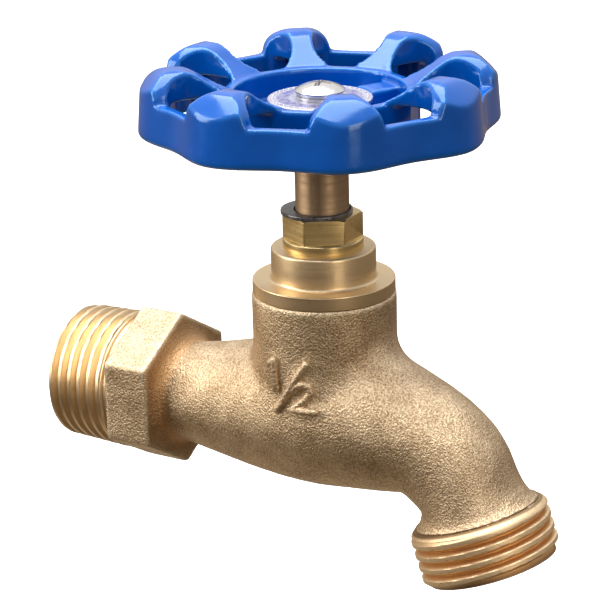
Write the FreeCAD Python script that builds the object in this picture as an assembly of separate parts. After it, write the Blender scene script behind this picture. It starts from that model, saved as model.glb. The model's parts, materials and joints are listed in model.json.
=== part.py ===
# A small brass garden tap: a screw-down valve with a male-threaded inlet and a hose outlet.
# Millimetres. The origin is the centre of the inlet's free end, +X runs along the inlet into
# the tap, and +Z is up along the stem. The tap is shown closed.
import FreeCAD, Part
import math
import os
from FreeCAD import Vector

# Pipe threads: nominal half inch, 14 turns to the inch, on inlet and outlet
PITCH = 1.814
THREAD_DEPTH = 1.05
THREAD_ROOT_FLAT = 0.25
FLANK_ANGLE = 27.5
INLET_TAPER = 1.0 / 32.0
OUTLET_TAPER = 0.0

# Inlet, along +X
INLET_END_R = 10.25
INLET_THREAD_LENGTH = 10.2
INLET_RELIEF = 0.75
INLET_RELIEF_DEPTH = 0.35
INLET_LEAD = 0.3
INLET_BORE_R = 6.25
HEX_ACROSS_FLATS = 21.1
HEX_LENGTH = 7.8
HEX_EDGE_CHAMFER = 0.15
HEX_FOOT_R = 9.6
HEX_FOOT_LENGTH = 2.7
HEX_FOOT_PIPE_R = 7.55
HEX_FOOT_HOLLOW = 0.3

# Where the stem's axis stands
STEM_X = 44.2

# Belly and spout: the middle line's control points and the radius there
PIPE_R = 7.2
SHOULDER = (27.6, 0.0, 8.6)
BELLY_BACK = (37.0, 0.8, 10.9)
BELLY_FRONT = (46.6, 2.0, 11.8)
SPOUT_TOP = (55.5, 0.7, 10.0)
SPOUT_BEND_R = 7.3
SPOUT_END_R = 8.75
SPOUT_LEAD = 9.6
SPOUT_END = 1.5
WALL = 2.0
SECTIONS = 15

# Outlet: its axis leans forward from straight down
OUTLET_LEAN = 18.75
OUTLET_X = 69.89
OUTLET_Z = -11.37
OUTLET_CREST_R = 10.36
OUTLET_LENGTH = 6.9
OUTLET_COLLAR_R = 9.6
OUTLET_COLLAR_UP = 1.15
OUTLET_FLARE = 2.2
OUTLET_FLARE_R = 7.8
OUTLET_FLARE_MID = (0.34, 0.44)
OUTLET_SHOULDER = 0.95
OUTLET_LEAD = 0.8
OUTLET_THREAD_TURN = 175.0
OUTLET_BORE_R = 6.4

# Neck
NECK_R = 10.6
NECK_TOP = 20.0
NECK_FOOT = 3.0
NECK_BLEND_BACK = 1.6
NECK_BLEND_FRONT = 5.5
NECK_THREAD_R = 8.65
CHAMBER_R = 8.2
BONNET_FOOT_GAP = 0.4

# Seat and the wall that divides the belly
SEAT_TOP = 0.3
SEAT_R = 4.5
SEAT_LIP = 1.0
DIVIDER_TOP = -0.3
DIVIDER_THICKNESS = 2.0
DIVIDER_BACK = 9.5
DIVIDER_FRONT = 8.8
DIVIDER_WALL = 1.5

# Bonnet
FLANGE_R = 10.46
FLANGE_THICKNESS = 2.0
BONNET_R = 7.67
BONNET_HEIGHT = 4.8
BONNET_FOOT_FILLET = 0.5
BONNET_EDGE = 0.25
BONNET_BOTTOM = 10.2
THREAD_CLEARANCE = 0.05
GASKET_WIDTH = 0.65
GASKET_HEIGHT = 0.8
STEM_THREAD_BORE_R = 5.75
WEB_BOTTOM = 19.0
WEB_THICKNESS = 1.2
PACKING_R = 5.0
GLAND_R = 5.35

# Stem
STEM_R = 3.92
RUNNING_CLEARANCE = 0.06
STEM_THREAD_R = 5.65
STEM_THREAD_PITCH = 3.0
STEM_THREAD_DEPTH = 1.1
STEM_THREAD_ROOT_FLAT = 0.8
STEM_THREAD_FLANK = 15.0
STEM_THREAD_TOP = 12.95
STEM_THREAD_LENGTH = 5.95
STEM_FOOT_R = 4.4
SQUARE_ACROSS_FLATS = 6.4
SQUARE_CLEARANCE = 0.05
SQUARE_BELOW_HUB = 0.25

# Gland
PACKING_WASHER = 0.5
PACKING_RING = 0.9
FOLLOWER = 0.6
NUT_COLLAR_R = 5.9
NUT_COLLAR_HEIGHT = 1.4
NUT_ACROSS_FLATS = 10.15
NUT_HEX_HEIGHT = 3.6
NUT_ANGLE = -56.0
NUT_COLLAR_EDGE = 0.2
NUT_CORNER_BEVEL = 0.4
NUT_BEVEL_SLOPE = 0.6
NUT_WASHER_R = 5.25
NUT_WASHER_HOLE_R = 4.15
NUT_WASHER_THICKNESS = 0.6
NUT_WASHER_SHIFT = 0.85
NUT_WASHER_SHIFT_ANGLE = -147.5

# Disc holder and seat washer
HOLDER_R = 6.6
HOLDER_PLATE = 1.5
HOLDER_LIP = 1.4
HOLDER_SHANK_R = 1.92
HOLDER_SHANK_LENGTH = 4.2
SEAT_WASHER_R = 5.85
SEAT_WASHER_THICKNESS = 2.2
WASHER_SCREW_R = 1.25
WASHER_SCREW_HEAD_R = 2.5
WASHER_SCREW_HEAD = 1.1
WASHER_SCREW_INTO_HOLDER = 0.8
WASHER_SCREW_SLOT = (0.6, 0.5)
TIP_GAP = 0.3
PIN_R = 0.5
PIN_OFFSET = 1.85
PIN_HEIGHT = 6.1
PIN_LENGTH = 7.6

# Handwheel
WHEEL_BOTTOM = 44.35
RIM_HEIGHT = 5.8
HUMPS = 8
HUMP_ANGLE = -4.45
HUMP_RISE = 4.05
HUMP_RIDGE_R = 20.9
HUMP_WIDTHS = ((9.0, 2.0), (13.0, 2.9), (18.0, 4.3), (22.0, 5.0), (30.0, 5.1))
HUMP_SHOULDER_DROP = 5.8
SHOULDER_LOW_INSET = 0.85
SHOULDER_LOW_DROP = 2.6
SHOULDER_HIGH_INSET = 2.7
SHOULDER_HIGH_DROP = 0.75
HUMP_INNER_RADIUS = 6.2
HUMP_INNER_SLOPE = 34.0
LOBE_R = 26.2
LOBE_DEPTH = 1.9
RIM_WALL = 1.9
WALL_DRAFT = 0.9
RIM_EDGE_ROUND = 0.8
WINDOW_INNER_R = 13.8
WINDOW_MIDDLE_R = 18.3
WINDOW_INNER_HALF = 2.6
WINDOW_MIDDLE_HALF = 5.5
WINDOW_OUTER_HALF = 4.3
WINDOW_CORNER = 0.7
CHANNEL_INNER_R = 14.3
CHANNEL_INSET = 0.3
SPOKE_BELOW_RIM = 0.25
RING_R = 12.3
FLOOR_RAISE = 0.45
FLOOR_THICKNESS = 1.4
HUB_R = 6.4
HUB_HEIGHT = 4.0
WEB_WIDTH = 4.5
WEB_HEIGHT = 2.8
WEB_ANGLE = 63.0
WEBS = 2
CORE_R = 1.9
CORE_AT = 22.9
CORE_BELOW_HUMP = 2.6

# Plate, washers and screw on top of the wheel
PLATE_R = 7.55
PLATE_THICKNESS = 0.5
PLATE_CLEARANCE = 0.12
PLATE_HOLE_CLEARANCE = 0.1
FLAT_WASHER_R = 3.4
FLAT_WASHER = 0.4
LOCK_WASHER_R = 3.2
LOCK_WASHER = 0.5
LOCK_WASHER_SPLIT = 0.5
LOCK_WASHER_ANGLE = 100.0
SCREW_R = 1.95
SCREW_HEAD_R = 3.65
SCREW_HEAD_EDGE = 0.25
SCREW_HEAD_HEIGHT = 1.4
SCREW_LENGTH = 8.5
RECESS_WIDTH = 0.75
RECESS_LENGTH = 3.4
RECESS_DEPTH = 1.1
RECESS_ANGLE = 15.0

# Raised size mark on the belly
MARK_STROKE = 0.46
MARK_HEIGHT = 0.5
MARK_FRONT = 16.0
MARK_REACH = 12.0

# Heights and radii that follow from the sizes above
CHAMBER_TOP = BONNET_BOTTOM - BONNET_FOOT_GAP
BONNET_SEAT = NECK_TOP + FLANGE_THICKNESS
BONNET_TOP = BONNET_SEAT + BONNET_HEIGHT
PACKING_FLOOR = WEB_BOTTOM + WEB_THICKNESS
GLAND_BOTTOM = PACKING_FLOOR + PACKING_WASHER + 2 * PACKING_RING + FOLLOWER
NUT_TOP = BONNET_TOP + NUT_COLLAR_HEIGHT + NUT_HEX_HEIGHT
HOLDER_BOTTOM = SEAT_TOP + SEAT_WASHER_THICKNESS
HOLDER_TOP = HOLDER_BOTTOM + HOLDER_PLATE
STEM_BOTTOM = HOLDER_TOP + RUNNING_CLEARANCE
VALLEY_R = LOBE_R - LOBE_DEPTH
WINDOW_OUTER_R = VALLEY_R - RIM_WALL
CHANNEL_OUTER_R = WINDOW_OUTER_R - CHANNEL_INSET
RIM_TOP = WHEEL_BOTTOM + RIM_HEIGHT
HUMP_TOP = RIM_TOP + HUMP_RISE
SPOKE_BOTTOM = RIM_TOP - SPOKE_BELOW_RIM
FLOOR_BOTTOM = WHEEL_BOTTOM + FLOOR_RAISE
FLOOR_TOP = FLOOR_BOTTOM + FLOOR_THICKNESS
HUB_TOP = WHEEL_BOTTOM + HUB_HEIGHT
WEB_TOP = FLOOR_TOP + WEB_HEIGHT
CORE_TOP = HUMP_TOP - CORE_BELOW_HUMP
HUMP_SHOULDER = HUMP_TOP - HUMP_SHOULDER_DROP
PLATE_TOP = HUB_TOP + PLATE_THICKNESS
SCREW_SEAT = PLATE_TOP + FLAT_WASHER + LOCK_WASHER
INLET_HEX_X = INLET_THREAD_LENGTH + INLET_RELIEF
PIPE_X = INLET_HEX_X + HEX_LENGTH

UP = Vector(0, 0, 1)
LEAN = math.radians(OUTLET_LEAN)
OUTLET_AXIS = Vector(math.sin(LEAN), 0, -math.cos(LEAN))


def stem_point(z, radius=0.0, angle=0.0):
    """A point at a height, a radius and an angle in degrees about the stem's axis."""
    a = math.radians(angle)
    return Vector(STEM_X + radius * math.cos(a), radius * math.sin(a), z)


def outlet_point(along):
    """A point on the outlet's axis, so far past its first thread crest."""
    return Vector(OUTLET_X, 0, OUTLET_Z) + OUTLET_AXIS * along


def rod(radius, z0, z1):
    """A cylinder on the stem's axis."""
    return Part.makeCylinder(radius, z1 - z0, stem_point(z0), UP)


def ring(outer, inner, z0, z1):
    """A flat ring on the stem's axis."""
    return rod(outer, z0, z1).cut(rod(inner, z0 - 1, z1 + 1))


def prism(points, start, along):
    """A straight prism over a closed outline of points."""
    face = Part.Face(Part.makePolygon([p + start for p in points] + [points[0] + start]))
    return face.extrude(along)


def hexagon(across_flats, z0, z1, angle):
    """An upright hexagon on the stem's axis, one flat's normal at the angle."""
    corner_r = across_flats / 2 / math.cos(math.pi / 6)
    points = [Vector(corner_r * math.cos(math.radians(angle + 30 + 60 * k)),
                     corner_r * math.sin(math.radians(angle + 30 + 60 * k)), 0) for k in range(6)]
    return prism(points, stem_point(z0), UP * (z1 - z0))


def along_axis(shape, origin, direction):
    """Turns a shape made along +Z from the origin so that it runs from a point along a line."""
    turned = shape.copy()
    turned.Placement = FreeCAD.Placement(origin, FreeCAD.Rotation(UP, direction))
    return turned


def thread_groove(crest_r, depth, pitch, z0, z1, taper, root_flat, flank):
    """The helical groove between a thread's crests, made along +Z."""
    widen = math.tan(math.radians(flank))
    over = 0.3
    start_r = crest_r + z0 * taper
    half_root = root_flat / 2
    half_top = half_root + (depth + over) * widen
    corners = [Vector(start_r - depth, 0, z0 - half_root),
               Vector(start_r + over, 0, z0 - half_top),
               Vector(start_r + over, 0, z0 + half_top),
               Vector(start_r - depth, 0, z0 + half_root)]
    profile = Part.makePolygon(corners + corners[:1])
    helix = Part.makeLongHelix(pitch, z1 - z0, start_r, math.degrees(math.atan(taper)))
    helix.translate(Vector(0, 0, z0))
    return Part.Wire(helix.Edges).makePipeShell([profile], True, True)


def body_line():
    """The belly and spout's middle line: x, radius and z of each control point."""
    bend = outlet_point(-SPOUT_END - SPOUT_LEAD)
    end = outlet_point(-SPOUT_END)
    rows = [(PIPE_X - 1.0, 0.0, PIPE_R), SHOULDER, BELLY_BACK, BELLY_FRONT, SPOUT_TOP,
            (bend.x, bend.z, SPOUT_BEND_R), (end.x, end.z, SPOUT_END_R)]
    curve = Part.BSplineCurve()
    curve.buildFromPoles([Vector(x, radius, z) for x, z, radius in rows], False, 3)
    return curve


def body_tube(extra):
    """The belly and spout as a tube round the middle line, thicker by the extra radius."""
    curve = body_line()
    circles = []
    for k in range(SECTIONS):
        u = k / (SECTIONS - 1)
        here = curve.value(u)
        way = curve.tangent(u)[0]
        normal = Vector(way.x, 0, way.z)
        circles.append(Part.Wire(Part.makeCircle(here.y + extra, Vector(here.x, 0, here.z), normal)))
    return Part.makeLoft(circles, True, False)


def male_thread(end_r, length, taper, bevel):
    """A male thread made along +Z from its free end, with a bevelled lead."""
    corners = [Vector(0, 0, 0), Vector(end_r, 0, 0), Vector(end_r + length * taper, 0, length),
               Vector(0, 0, length)]
    blank = Part.Face(Part.makePolygon(corners + corners[:1])).revolve(Vector(0, 0, 0), UP, 360)
    groove = thread_groove(end_r, THREAD_DEPTH, PITCH, -PITCH, length + PITCH / 3, taper,
                           THREAD_ROOT_FLAT, FLANK_ANGLE)
    lead = Part.makeCone(end_r - bevel, end_r - bevel + 2 * length, 2 * length)
    return blank.cut(groove).common(lead)


def inlet():
    """The threaded inlet, its relief, the cast hexagon and its foot on the pipe, along +X."""
    hex_corner = HEX_ACROSS_FLATS / 2 / math.cos(math.pi / 6)
    points = [Vector(0, hex_corner * math.cos(math.radians(90 + 60 * k)),
                     hex_corner * math.sin(math.radians(90 + 60 * k))) for k in range(6)]
    block = prism(points, Vector(INLET_HEX_X, 0, 0), Vector(HEX_LENGTH, 0, 0))
    # the turning tool bevels the corners of the hexagon's outer face
    bevel = Part.makeCone(hex_corner - HEX_EDGE_CHAMFER, hex_corner - HEX_EDGE_CHAMFER + HEX_LENGTH, HEX_LENGTH,
                          Vector(INLET_HEX_X, 0, 0), Vector(1, 0, 0))
    block = block.common(bevel)
    thread = male_thread(INLET_END_R, INLET_THREAD_LENGTH, INLET_TAPER, INLET_LEAD)
    relief_r = INLET_END_R + INLET_THREAD_LENGTH * INLET_TAPER - INLET_RELIEF_DEPTH
    relief = Part.makeCylinder(relief_r, INLET_RELIEF + 0.2, Vector(0, 0, INLET_THREAD_LENGTH - 0.1))
    thread = along_axis(thread.fuse(relief), Vector(0, 0, 0), Vector(1, 0, 0))
    foot_end = Vector(PIPE_X + HEX_FOOT_LENGTH, 0, HEX_FOOT_PIPE_R)
    foot_start = Vector(PIPE_X, 0, HEX_FOOT_R)
    foot_mid = Vector(PIPE_X + HEX_FOOT_HOLLOW * HEX_FOOT_LENGTH, 0,
                      HEX_FOOT_PIPE_R + HEX_FOOT_HOLLOW * (HEX_FOOT_R - HEX_FOOT_PIPE_R))
    edges = [Part.Arc(foot_start, foot_mid, foot_end).toShape(),
             Part.makeLine(foot_end, Vector(foot_end.x, 0, 0)),
             Part.makeLine(Vector(foot_end.x, 0, 0), Vector(PIPE_X - 1, 0, 0)),
             Part.makeLine(Vector(PIPE_X - 1, 0, 0), Vector(PIPE_X - 1, 0, HEX_FOOT_R)),
             Part.makeLine(Vector(PIPE_X - 1, 0, HEX_FOOT_R), foot_start)]
    foot = Part.Face(Part.Wire(edges)).revolve(Vector(0, 0, 0), Vector(1, 0, 0), 360)
    return block.fuse(thread).fuse(foot)


def outlet():
    """The flared collar and the threaded end of the spout."""
    low = -OUTLET_COLLAR_UP
    flare_top = low - OUTLET_FLARE
    out, up = OUTLET_FLARE_MID
    mid = Vector(OUTLET_FLARE_R + out * (OUTLET_COLLAR_R - OUTLET_FLARE_R), 0, low - up * OUTLET_FLARE)
    rim = Vector(OUTLET_COLLAR_R, 0, low)
    start = Vector(OUTLET_FLARE_R, 0, flare_top)
    edges = [Part.Arc(start, mid, rim).toShape(),
             Part.makeLine(rim, Vector(0, 0, low)),
             Part.makeLine(Vector(0, 0, low), Vector(0, 0, flare_top)),
             Part.makeLine(Vector(0, 0, flare_top), start)]
    flare = Part.Face(Part.Wire(edges)).revolve(Vector(0, 0, 0), UP, 360)
    flare = along_axis(flare, outlet_point(0), OUTLET_AXIS)
    thread_length = OUTLET_LENGTH + OUTLET_COLLAR_UP - OUTLET_SHOULDER
    end_r = OUTLET_CREST_R - thread_length * OUTLET_TAPER
    thread = male_thread(end_r, thread_length, OUTLET_TAPER, OUTLET_LEAD)
    shoulder = Part.makeCone(OUTLET_CREST_R, OUTLET_COLLAR_R, OUTLET_SHOULDER, Vector(0, 0, thread_length))
    thread = along_axis(thread.fuse(shoulder), outlet_point(OUTLET_LENGTH), OUTLET_AXIS * -1)
    thread.rotate(outlet_point(0), OUTLET_AXIS, OUTLET_THREAD_TURN)
    return flare.fuse(thread)


def stroke(x0, z0, x1, z1):
    """One straight stroke of the size mark, as a prism through the belly's front."""
    a = Vector(STEM_X + x0, -MARK_FRONT, z0)
    b = Vector(STEM_X + x1, -MARK_FRONT, z1)
    line = Part.makeCylinder(MARK_STROKE, MARK_REACH, a, Vector(0, 1, 0))
    line = line.fuse(Part.makeCylinder(MARK_STROKE, MARK_REACH, b, Vector(0, 1, 0)))
    way = (b - a).normalize()
    side = Vector(-way.z, 0, way.x) * MARK_STROKE
    corners = [a + side, b + side, b - side, a - side]
    face = Part.Face(Part.makePolygon(corners + corners[:1]))
    return line.fuse(face.extrude(Vector(0, MARK_REACH, 0)))


def size_mark():
    """The strokes of a raised 1/2, x from the stem's axis and z up."""
    lines = [(-2.75, 11.4, -2.1, 12.0), (-2.1, 12.0, -1.75, 7.8), (3.2, 12.1, -1.35, 4.8)]
    hook = [(1.25, 8.0), (1.8, 8.7), (2.75, 9.05), (3.7, 8.75), (3.9, 7.9), (3.1, 6.75), (1.3, 5.2), (4.8, 5.25)]
    lines += [hook[k] + hook[k + 1] for k in range(len(hook) - 1)]
    strokes = [stroke(*line) for line in lines]
    return strokes[0].multiFuse(strokes[1:])


def waterway():
    """The hollow inside the body: inlet bore, both chambers and the spout."""
    hollow = body_tube(-WALL).fuse(rod(CHAMBER_R, DIVIDER_TOP, CHAMBER_TOP))
    back = STEM_X - DIVIDER_BACK
    front = STEM_X + DIVIDER_FRONT
    floor = DIVIDER_TOP - DIVIDER_THICKNESS
    plate = Part.makeBox(front - back, 40, DIVIDER_THICKNESS, Vector(back, -20, floor))
    upright = Part.makeBox(DIVIDER_WALL, 40, CHAMBER_TOP - floor + 5, Vector(back, -20, floor))
    downright = Part.makeBox(DIVIDER_WALL, 40, 20, Vector(front - DIVIDER_WALL, -20, DIVIDER_TOP - 20))
    hollow = hollow.cut(plate).cut(upright).cut(downright)
    seat_ring = ring(SEAT_R + SEAT_LIP, SEAT_R, DIVIDER_TOP - 0.1, SEAT_TOP)
    hollow = hollow.cut(seat_ring)
    hollow = hollow.fuse(rod(SEAT_R, floor - 0.5, SEAT_TOP))
    bore = Part.makeCylinder(INLET_BORE_R, PIPE_X + 4, Vector(0, 0, 0), Vector(1, 0, 0))
    exit_bore = Part.makeCylinder(OUTLET_BORE_R, OUTLET_LENGTH + 4, outlet_point(-4), OUTLET_AXIS)
    neck = rod(NECK_THREAD_R, CHAMBER_TOP, NECK_TOP)
    groove = rod(NECK_THREAD_R + GASKET_WIDTH, NECK_TOP - GASKET_HEIGHT, NECK_TOP)
    return hollow.fuse(bore).fuse(exit_bore).fuse(neck).fuse(groove)


def belly_and_neck():
    """The cast belly, spout and neck, with the hollow where they meet, one half mirrored."""
    shape = body_tube(0).fuse(rod(NECK_R, NECK_FOOT, NECK_TOP))
    side = Part.makeBox(200, 100, 200, Vector(-50, 0, -100))
    half = shape.common(side)
    join = [e for e in half.Edges if NECK_FOOT + 0.5 < e.BoundBox.ZMin and e.BoundBox.ZMax < NECK_TOP - 1
            and e.BoundBox.YMax > NECK_R - 0.5 and e.BoundBox.XLength > 2 * NECK_R - 0.5]
    half = half.makeFillet(NECK_BLEND_BACK, NECK_BLEND_FRONT, join)
    return half.fuse(half.mirror(Vector(0, 0, 0), Vector(0, 1, 0)))


def body_casting():
    """The cast body from the inlet's end to the outlet's end."""
    raised = size_mark().common(body_tube(MARK_HEIGHT).fuse(rod(NECK_R + MARK_HEIGHT, NECK_FOOT, NECK_TOP)))
    outside = belly_and_neck().fuse(inlet()).fuse(outlet()).fuse(raised)
    return outside.cut(waterway())


def bonnet():
    """The bonnet: flange, collar and the threaded barrel that carries the stem."""
    thread_r = NECK_THREAD_R - THREAD_CLEARANCE
    shape = rod(FLANGE_R, NECK_TOP, BONNET_SEAT).fuse(rod(BONNET_R, BONNET_SEAT, BONNET_TOP))
    shape = shape.fuse(rod(thread_r, BONNET_BOTTOM, NECK_TOP))
    foot = [e for e in shape.Edges if abs(e.BoundBox.ZMax - BONNET_SEAT) < 1e-4
            and abs(e.BoundBox.XLength - 2 * BONNET_R) < 1e-3 and e.BoundBox.ZLength < 1e-4]
    shape = shape.makeFillet(BONNET_FOOT_FILLET, foot)
    lip = [e for e in shape.Edges if abs(e.BoundBox.ZMin - BONNET_TOP) < 1e-4]
    shape = shape.makeChamfer(BONNET_EDGE, lip)
    shape = shape.cut(rod(STEM_THREAD_BORE_R, BONNET_BOTTOM, WEB_BOTTOM))
    shape = shape.cut(rod(STEM_R + RUNNING_CLEARANCE, WEB_BOTTOM, PACKING_FLOOR))
    shape = shape.cut(rod(PACKING_R, PACKING_FLOOR, GLAND_BOTTOM))
    return shape.cut(rod(GLAND_R, GLAND_BOTTOM, BONNET_TOP))


def bonnet_gasket():
    """The gasket in the groove at the top of the neck."""
    return ring(NECK_THREAD_R + GASKET_WIDTH - THREAD_CLEARANCE, NECK_THREAD_R + THREAD_CLEARANCE,
                NECK_TOP - GASKET_HEIGHT, NECK_TOP)


def stem():
    """The stem: foot, thread, shank and the square that carries the wheel."""
    thread_bottom = STEM_THREAD_TOP - STEM_THREAD_LENGTH
    foot = rod(STEM_FOOT_R, STEM_BOTTOM, thread_bottom + 0.1)
    blank = Part.makeCylinder(STEM_THREAD_R, STEM_THREAD_LENGTH, Vector(0, 0, thread_bottom))
    groove = thread_groove(STEM_THREAD_R, STEM_THREAD_DEPTH, STEM_THREAD_PITCH,
                           thread_bottom - STEM_THREAD_PITCH, STEM_THREAD_TOP + STEM_THREAD_PITCH, 0.0,
                           STEM_THREAD_ROOT_FLAT, STEM_THREAD_FLANK)
    thread = blank.cut(groove)
    thread.translate(Vector(STEM_X, 0, 0))
    square_top = HUB_TOP - SQUARE_BELOW_HUB
    flats = Part.makeBox(SQUARE_ACROSS_FLATS, SQUARE_ACROSS_FLATS, square_top - STEM_BOTTOM,
                         Vector(STEM_X - SQUARE_ACROSS_FLATS / 2, -SQUARE_ACROSS_FLATS / 2, STEM_BOTTOM))
    flats.rotate(stem_point(0), UP, WEB_ANGLE)
    square = rod(STEM_R, WHEEL_BOTTOM, square_top).common(flats)
    shape = rod(STEM_R, thread_bottom, WHEEL_BOTTOM).fuse(square).fuse(thread).fuse(foot)
    shape = shape.cut(rod(HOLDER_SHANK_R + RUNNING_CLEARANCE, STEM_BOTTOM,
                          HOLDER_TOP + HOLDER_SHANK_LENGTH + TIP_GAP))
    shape = shape.cut(rod(SCREW_R + THREAD_CLEARANCE, SCREW_SEAT - SCREW_LENGTH - TIP_GAP, square_top))
    return shape.cut(cross_pin(PIN_LENGTH))


def cross_pin(length):
    """The pin beside the holder's shank, across the stem's foot."""
    return Part.makeCylinder(PIN_R, length, Vector(STEM_X - length / 2, PIN_OFFSET, PIN_HEIGHT),
                             Vector(1, 0, 0))


def disc_holder():
    """The plate and lip that hold the seat washer, and the shank that turns in the stem."""
    shape = rod(HOLDER_R, HOLDER_BOTTOM, HOLDER_TOP)
    lip = ring(HOLDER_R, SEAT_WASHER_R + THREAD_CLEARANCE, HOLDER_BOTTOM - HOLDER_LIP, HOLDER_BOTTOM)
    shank = rod(HOLDER_SHANK_R, HOLDER_TOP, HOLDER_TOP + HOLDER_SHANK_LENGTH)
    groove_r = PIN_OFFSET - PIN_R - RUNNING_CLEARANCE
    reach = PIN_R + RUNNING_CLEARANCE
    groove = ring(HOLDER_SHANK_R + 1, groove_r, PIN_HEIGHT - reach, PIN_HEIGHT + reach)
    hole = rod(WASHER_SCREW_R + THREAD_CLEARANCE, HOLDER_BOTTOM - 1,
               HOLDER_TOP + WASHER_SCREW_INTO_HOLDER + TIP_GAP)
    return shape.fuse(lip).fuse(shank).cut(groove).cut(hole)


def seat_washer():
    """The washer that closes on the seat."""
    return ring(SEAT_WASHER_R, WASHER_SCREW_R + THREAD_CLEARANCE, SEAT_TOP, HOLDER_BOTTOM)


def seat_washer_screw():
    """The slotted screw that holds the seat washer."""
    head = rod(WASHER_SCREW_HEAD_R, SEAT_TOP - WASHER_SCREW_HEAD, SEAT_TOP)
    width, depth = WASHER_SCREW_SLOT
    corner = stem_point(SEAT_TOP - WASHER_SCREW_HEAD) - Vector(WASHER_SCREW_HEAD_R + 0.5, width / 2, 0)
    slot = Part.makeBox(2 * WASHER_SCREW_HEAD_R + 1, width, depth, corner)
    shank = rod(WASHER_SCREW_R, SEAT_TOP, HOLDER_TOP + WASHER_SCREW_INTO_HOLDER)
    return head.cut(slot).fuse(shank)


def packing_washer(z0, thickness):
    """One ring of the gland, free of the stem and of its chamber's wall."""
    return ring(PACKING_R - THREAD_CLEARANCE, STEM_R + RUNNING_CLEARANCE, z0, z0 + thickness)


def packing_nut():
    """The gland nut: hexagon with turned corners, round collar and the shank below it."""
    collar_top = BONNET_TOP + NUT_COLLAR_HEIGHT
    collar = rod(NUT_COLLAR_R, BONNET_TOP, collar_top)
    edge = [e for e in collar.Edges if abs(e.BoundBox.ZMin - collar_top) < 1e-4]
    collar = collar.makeChamfer(NUT_COLLAR_EDGE, edge)
    block = hexagon(NUT_ACROSS_FLATS, collar_top - 0.1, NUT_TOP, NUT_ANGLE)
    corner_r = NUT_ACROSS_FLATS / 2 / math.cos(math.pi / 6)
    wide = corner_r + NUT_HEX_HEIGHT
    cone_height = (wide - corner_r + NUT_CORNER_BEVEL) * NUT_BEVEL_SLOPE
    bevel = Part.makeCone(wide, corner_r - NUT_CORNER_BEVEL, cone_height, stem_point(NUT_TOP - cone_height), UP)
    block = block.common(bevel.fuse(rod(wide, BONNET_TOP, NUT_TOP - cone_height)))
    shank = rod(GLAND_R - THREAD_CLEARANCE, GLAND_BOTTOM, BONNET_TOP)
    return collar.fuse(block).fuse(shank).cut(rod(STEM_R + RUNNING_CLEARANCE, 0, NUT_TOP + 1))


def nut_washer():
    """Its hole is round the stem and its outside lies off centre."""
    shift = stem_point(0, NUT_WASHER_SHIFT, NUT_WASHER_SHIFT_ANGLE) - stem_point(0)
    outer = rod(NUT_WASHER_R, NUT_TOP, NUT_TOP + NUT_WASHER_THICKNESS)
    outer.translate(shift)
    return outer.cut(rod(NUT_WASHER_HOLE_R, NUT_TOP - 1, NUT_TOP + 2))


def wheel_outline(z, inward):
    """The lobed outline of the wheel as a closed wire at a height, drawn in by a width."""
    points = []
    steps = 4 * HUMPS
    for k in range(steps):
        angle = 360.0 * k / steps + HUMP_ANGLE
        wave = math.cos(math.radians(HUMPS * (angle - HUMP_ANGLE)))
        radius = (LOBE_R + VALLEY_R) / 2 + (LOBE_R - VALLEY_R) / 2 * wave - inward
        points.append(stem_point(z, radius, angle))
    curve = Part.BSplineCurve()
    curve.interpolate(Points=points, PeriodicFlag=True)
    return Part.Wire(curve.toShape())


def hump_profile():
    """The wheel's section: bottom, skirt, shoulder, ridge and the slope down to the ring."""
    def point(radius, z):
        return stem_point(z, radius)
    outside = LOBE_R + 0.4
    slope = math.radians(HUMP_INNER_SLOPE)
    ridge = point(HUMP_RIDGE_R, HUMP_TOP)

    def inner(a):
        return point(HUMP_RIDGE_R - HUMP_INNER_RADIUS * math.sin(a),
                     HUMP_TOP - HUMP_INNER_RADIUS * (1 - math.cos(a)))
    turn = inner(slope)
    foot_r = turn.x - STEM_X - (turn.z - RIM_TOP) / math.tan(slope)
    shoulder = Part.BSplineCurve()
    low = point(LOBE_R - SHOULDER_LOW_INSET, HUMP_TOP - SHOULDER_LOW_DROP)
    high = point(LOBE_R - SHOULDER_HIGH_INSET, HUMP_TOP - SHOULDER_HIGH_DROP)
    shoulder.interpolate(Points=[point(outside, HUMP_SHOULDER), low, high, ridge],
                         InitialTangent=Vector(0, 0, 1), FinalTangent=Vector(-1, 0, 0))
    foot = point(max(foot_r, RING_R + 0.2), RIM_TOP)
    edges = [Part.makeLine(point(0, WHEEL_BOTTOM), point(outside, WHEEL_BOTTOM)),
             Part.makeLine(point(outside, WHEEL_BOTTOM), point(outside, HUMP_SHOULDER)),
             shoulder.toShape(),
             Part.Arc(ridge, inner(slope / 2), turn).toShape(),
             Part.makeLine(turn, foot),
             Part.makeLine(foot, point(0, RIM_TOP)),
             Part.makeLine(point(0, RIM_TOP), point(0, WHEEL_BOTTOM))]
    return Part.Face(Part.Wire(edges))


def hump_tunnel(angle):
    """The oval bar that a hump's sides are cut to, narrower toward the wheel's centre."""
    rise = HUMP_TOP + 0.15 - RIM_TOP
    slices = []
    for radius, half_width in HUMP_WIDTHS:
        outline = [Vector(radius, half_width * math.cos(t), RIM_TOP + rise * math.sin(t))
                   for t in (2 * math.pi * k / 16 for k in range(16))]
        oval = Part.BSplineCurve()
        oval.interpolate(Points=outline, PeriodicFlag=True)
        slices.append(Part.Wire(oval.toShape()))
    bar = Part.makeLoft(slices, True, False)
    bar.rotate(Vector(0, 0, 0), UP, angle)
    bar.translate(stem_point(0))
    return bar


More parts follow.
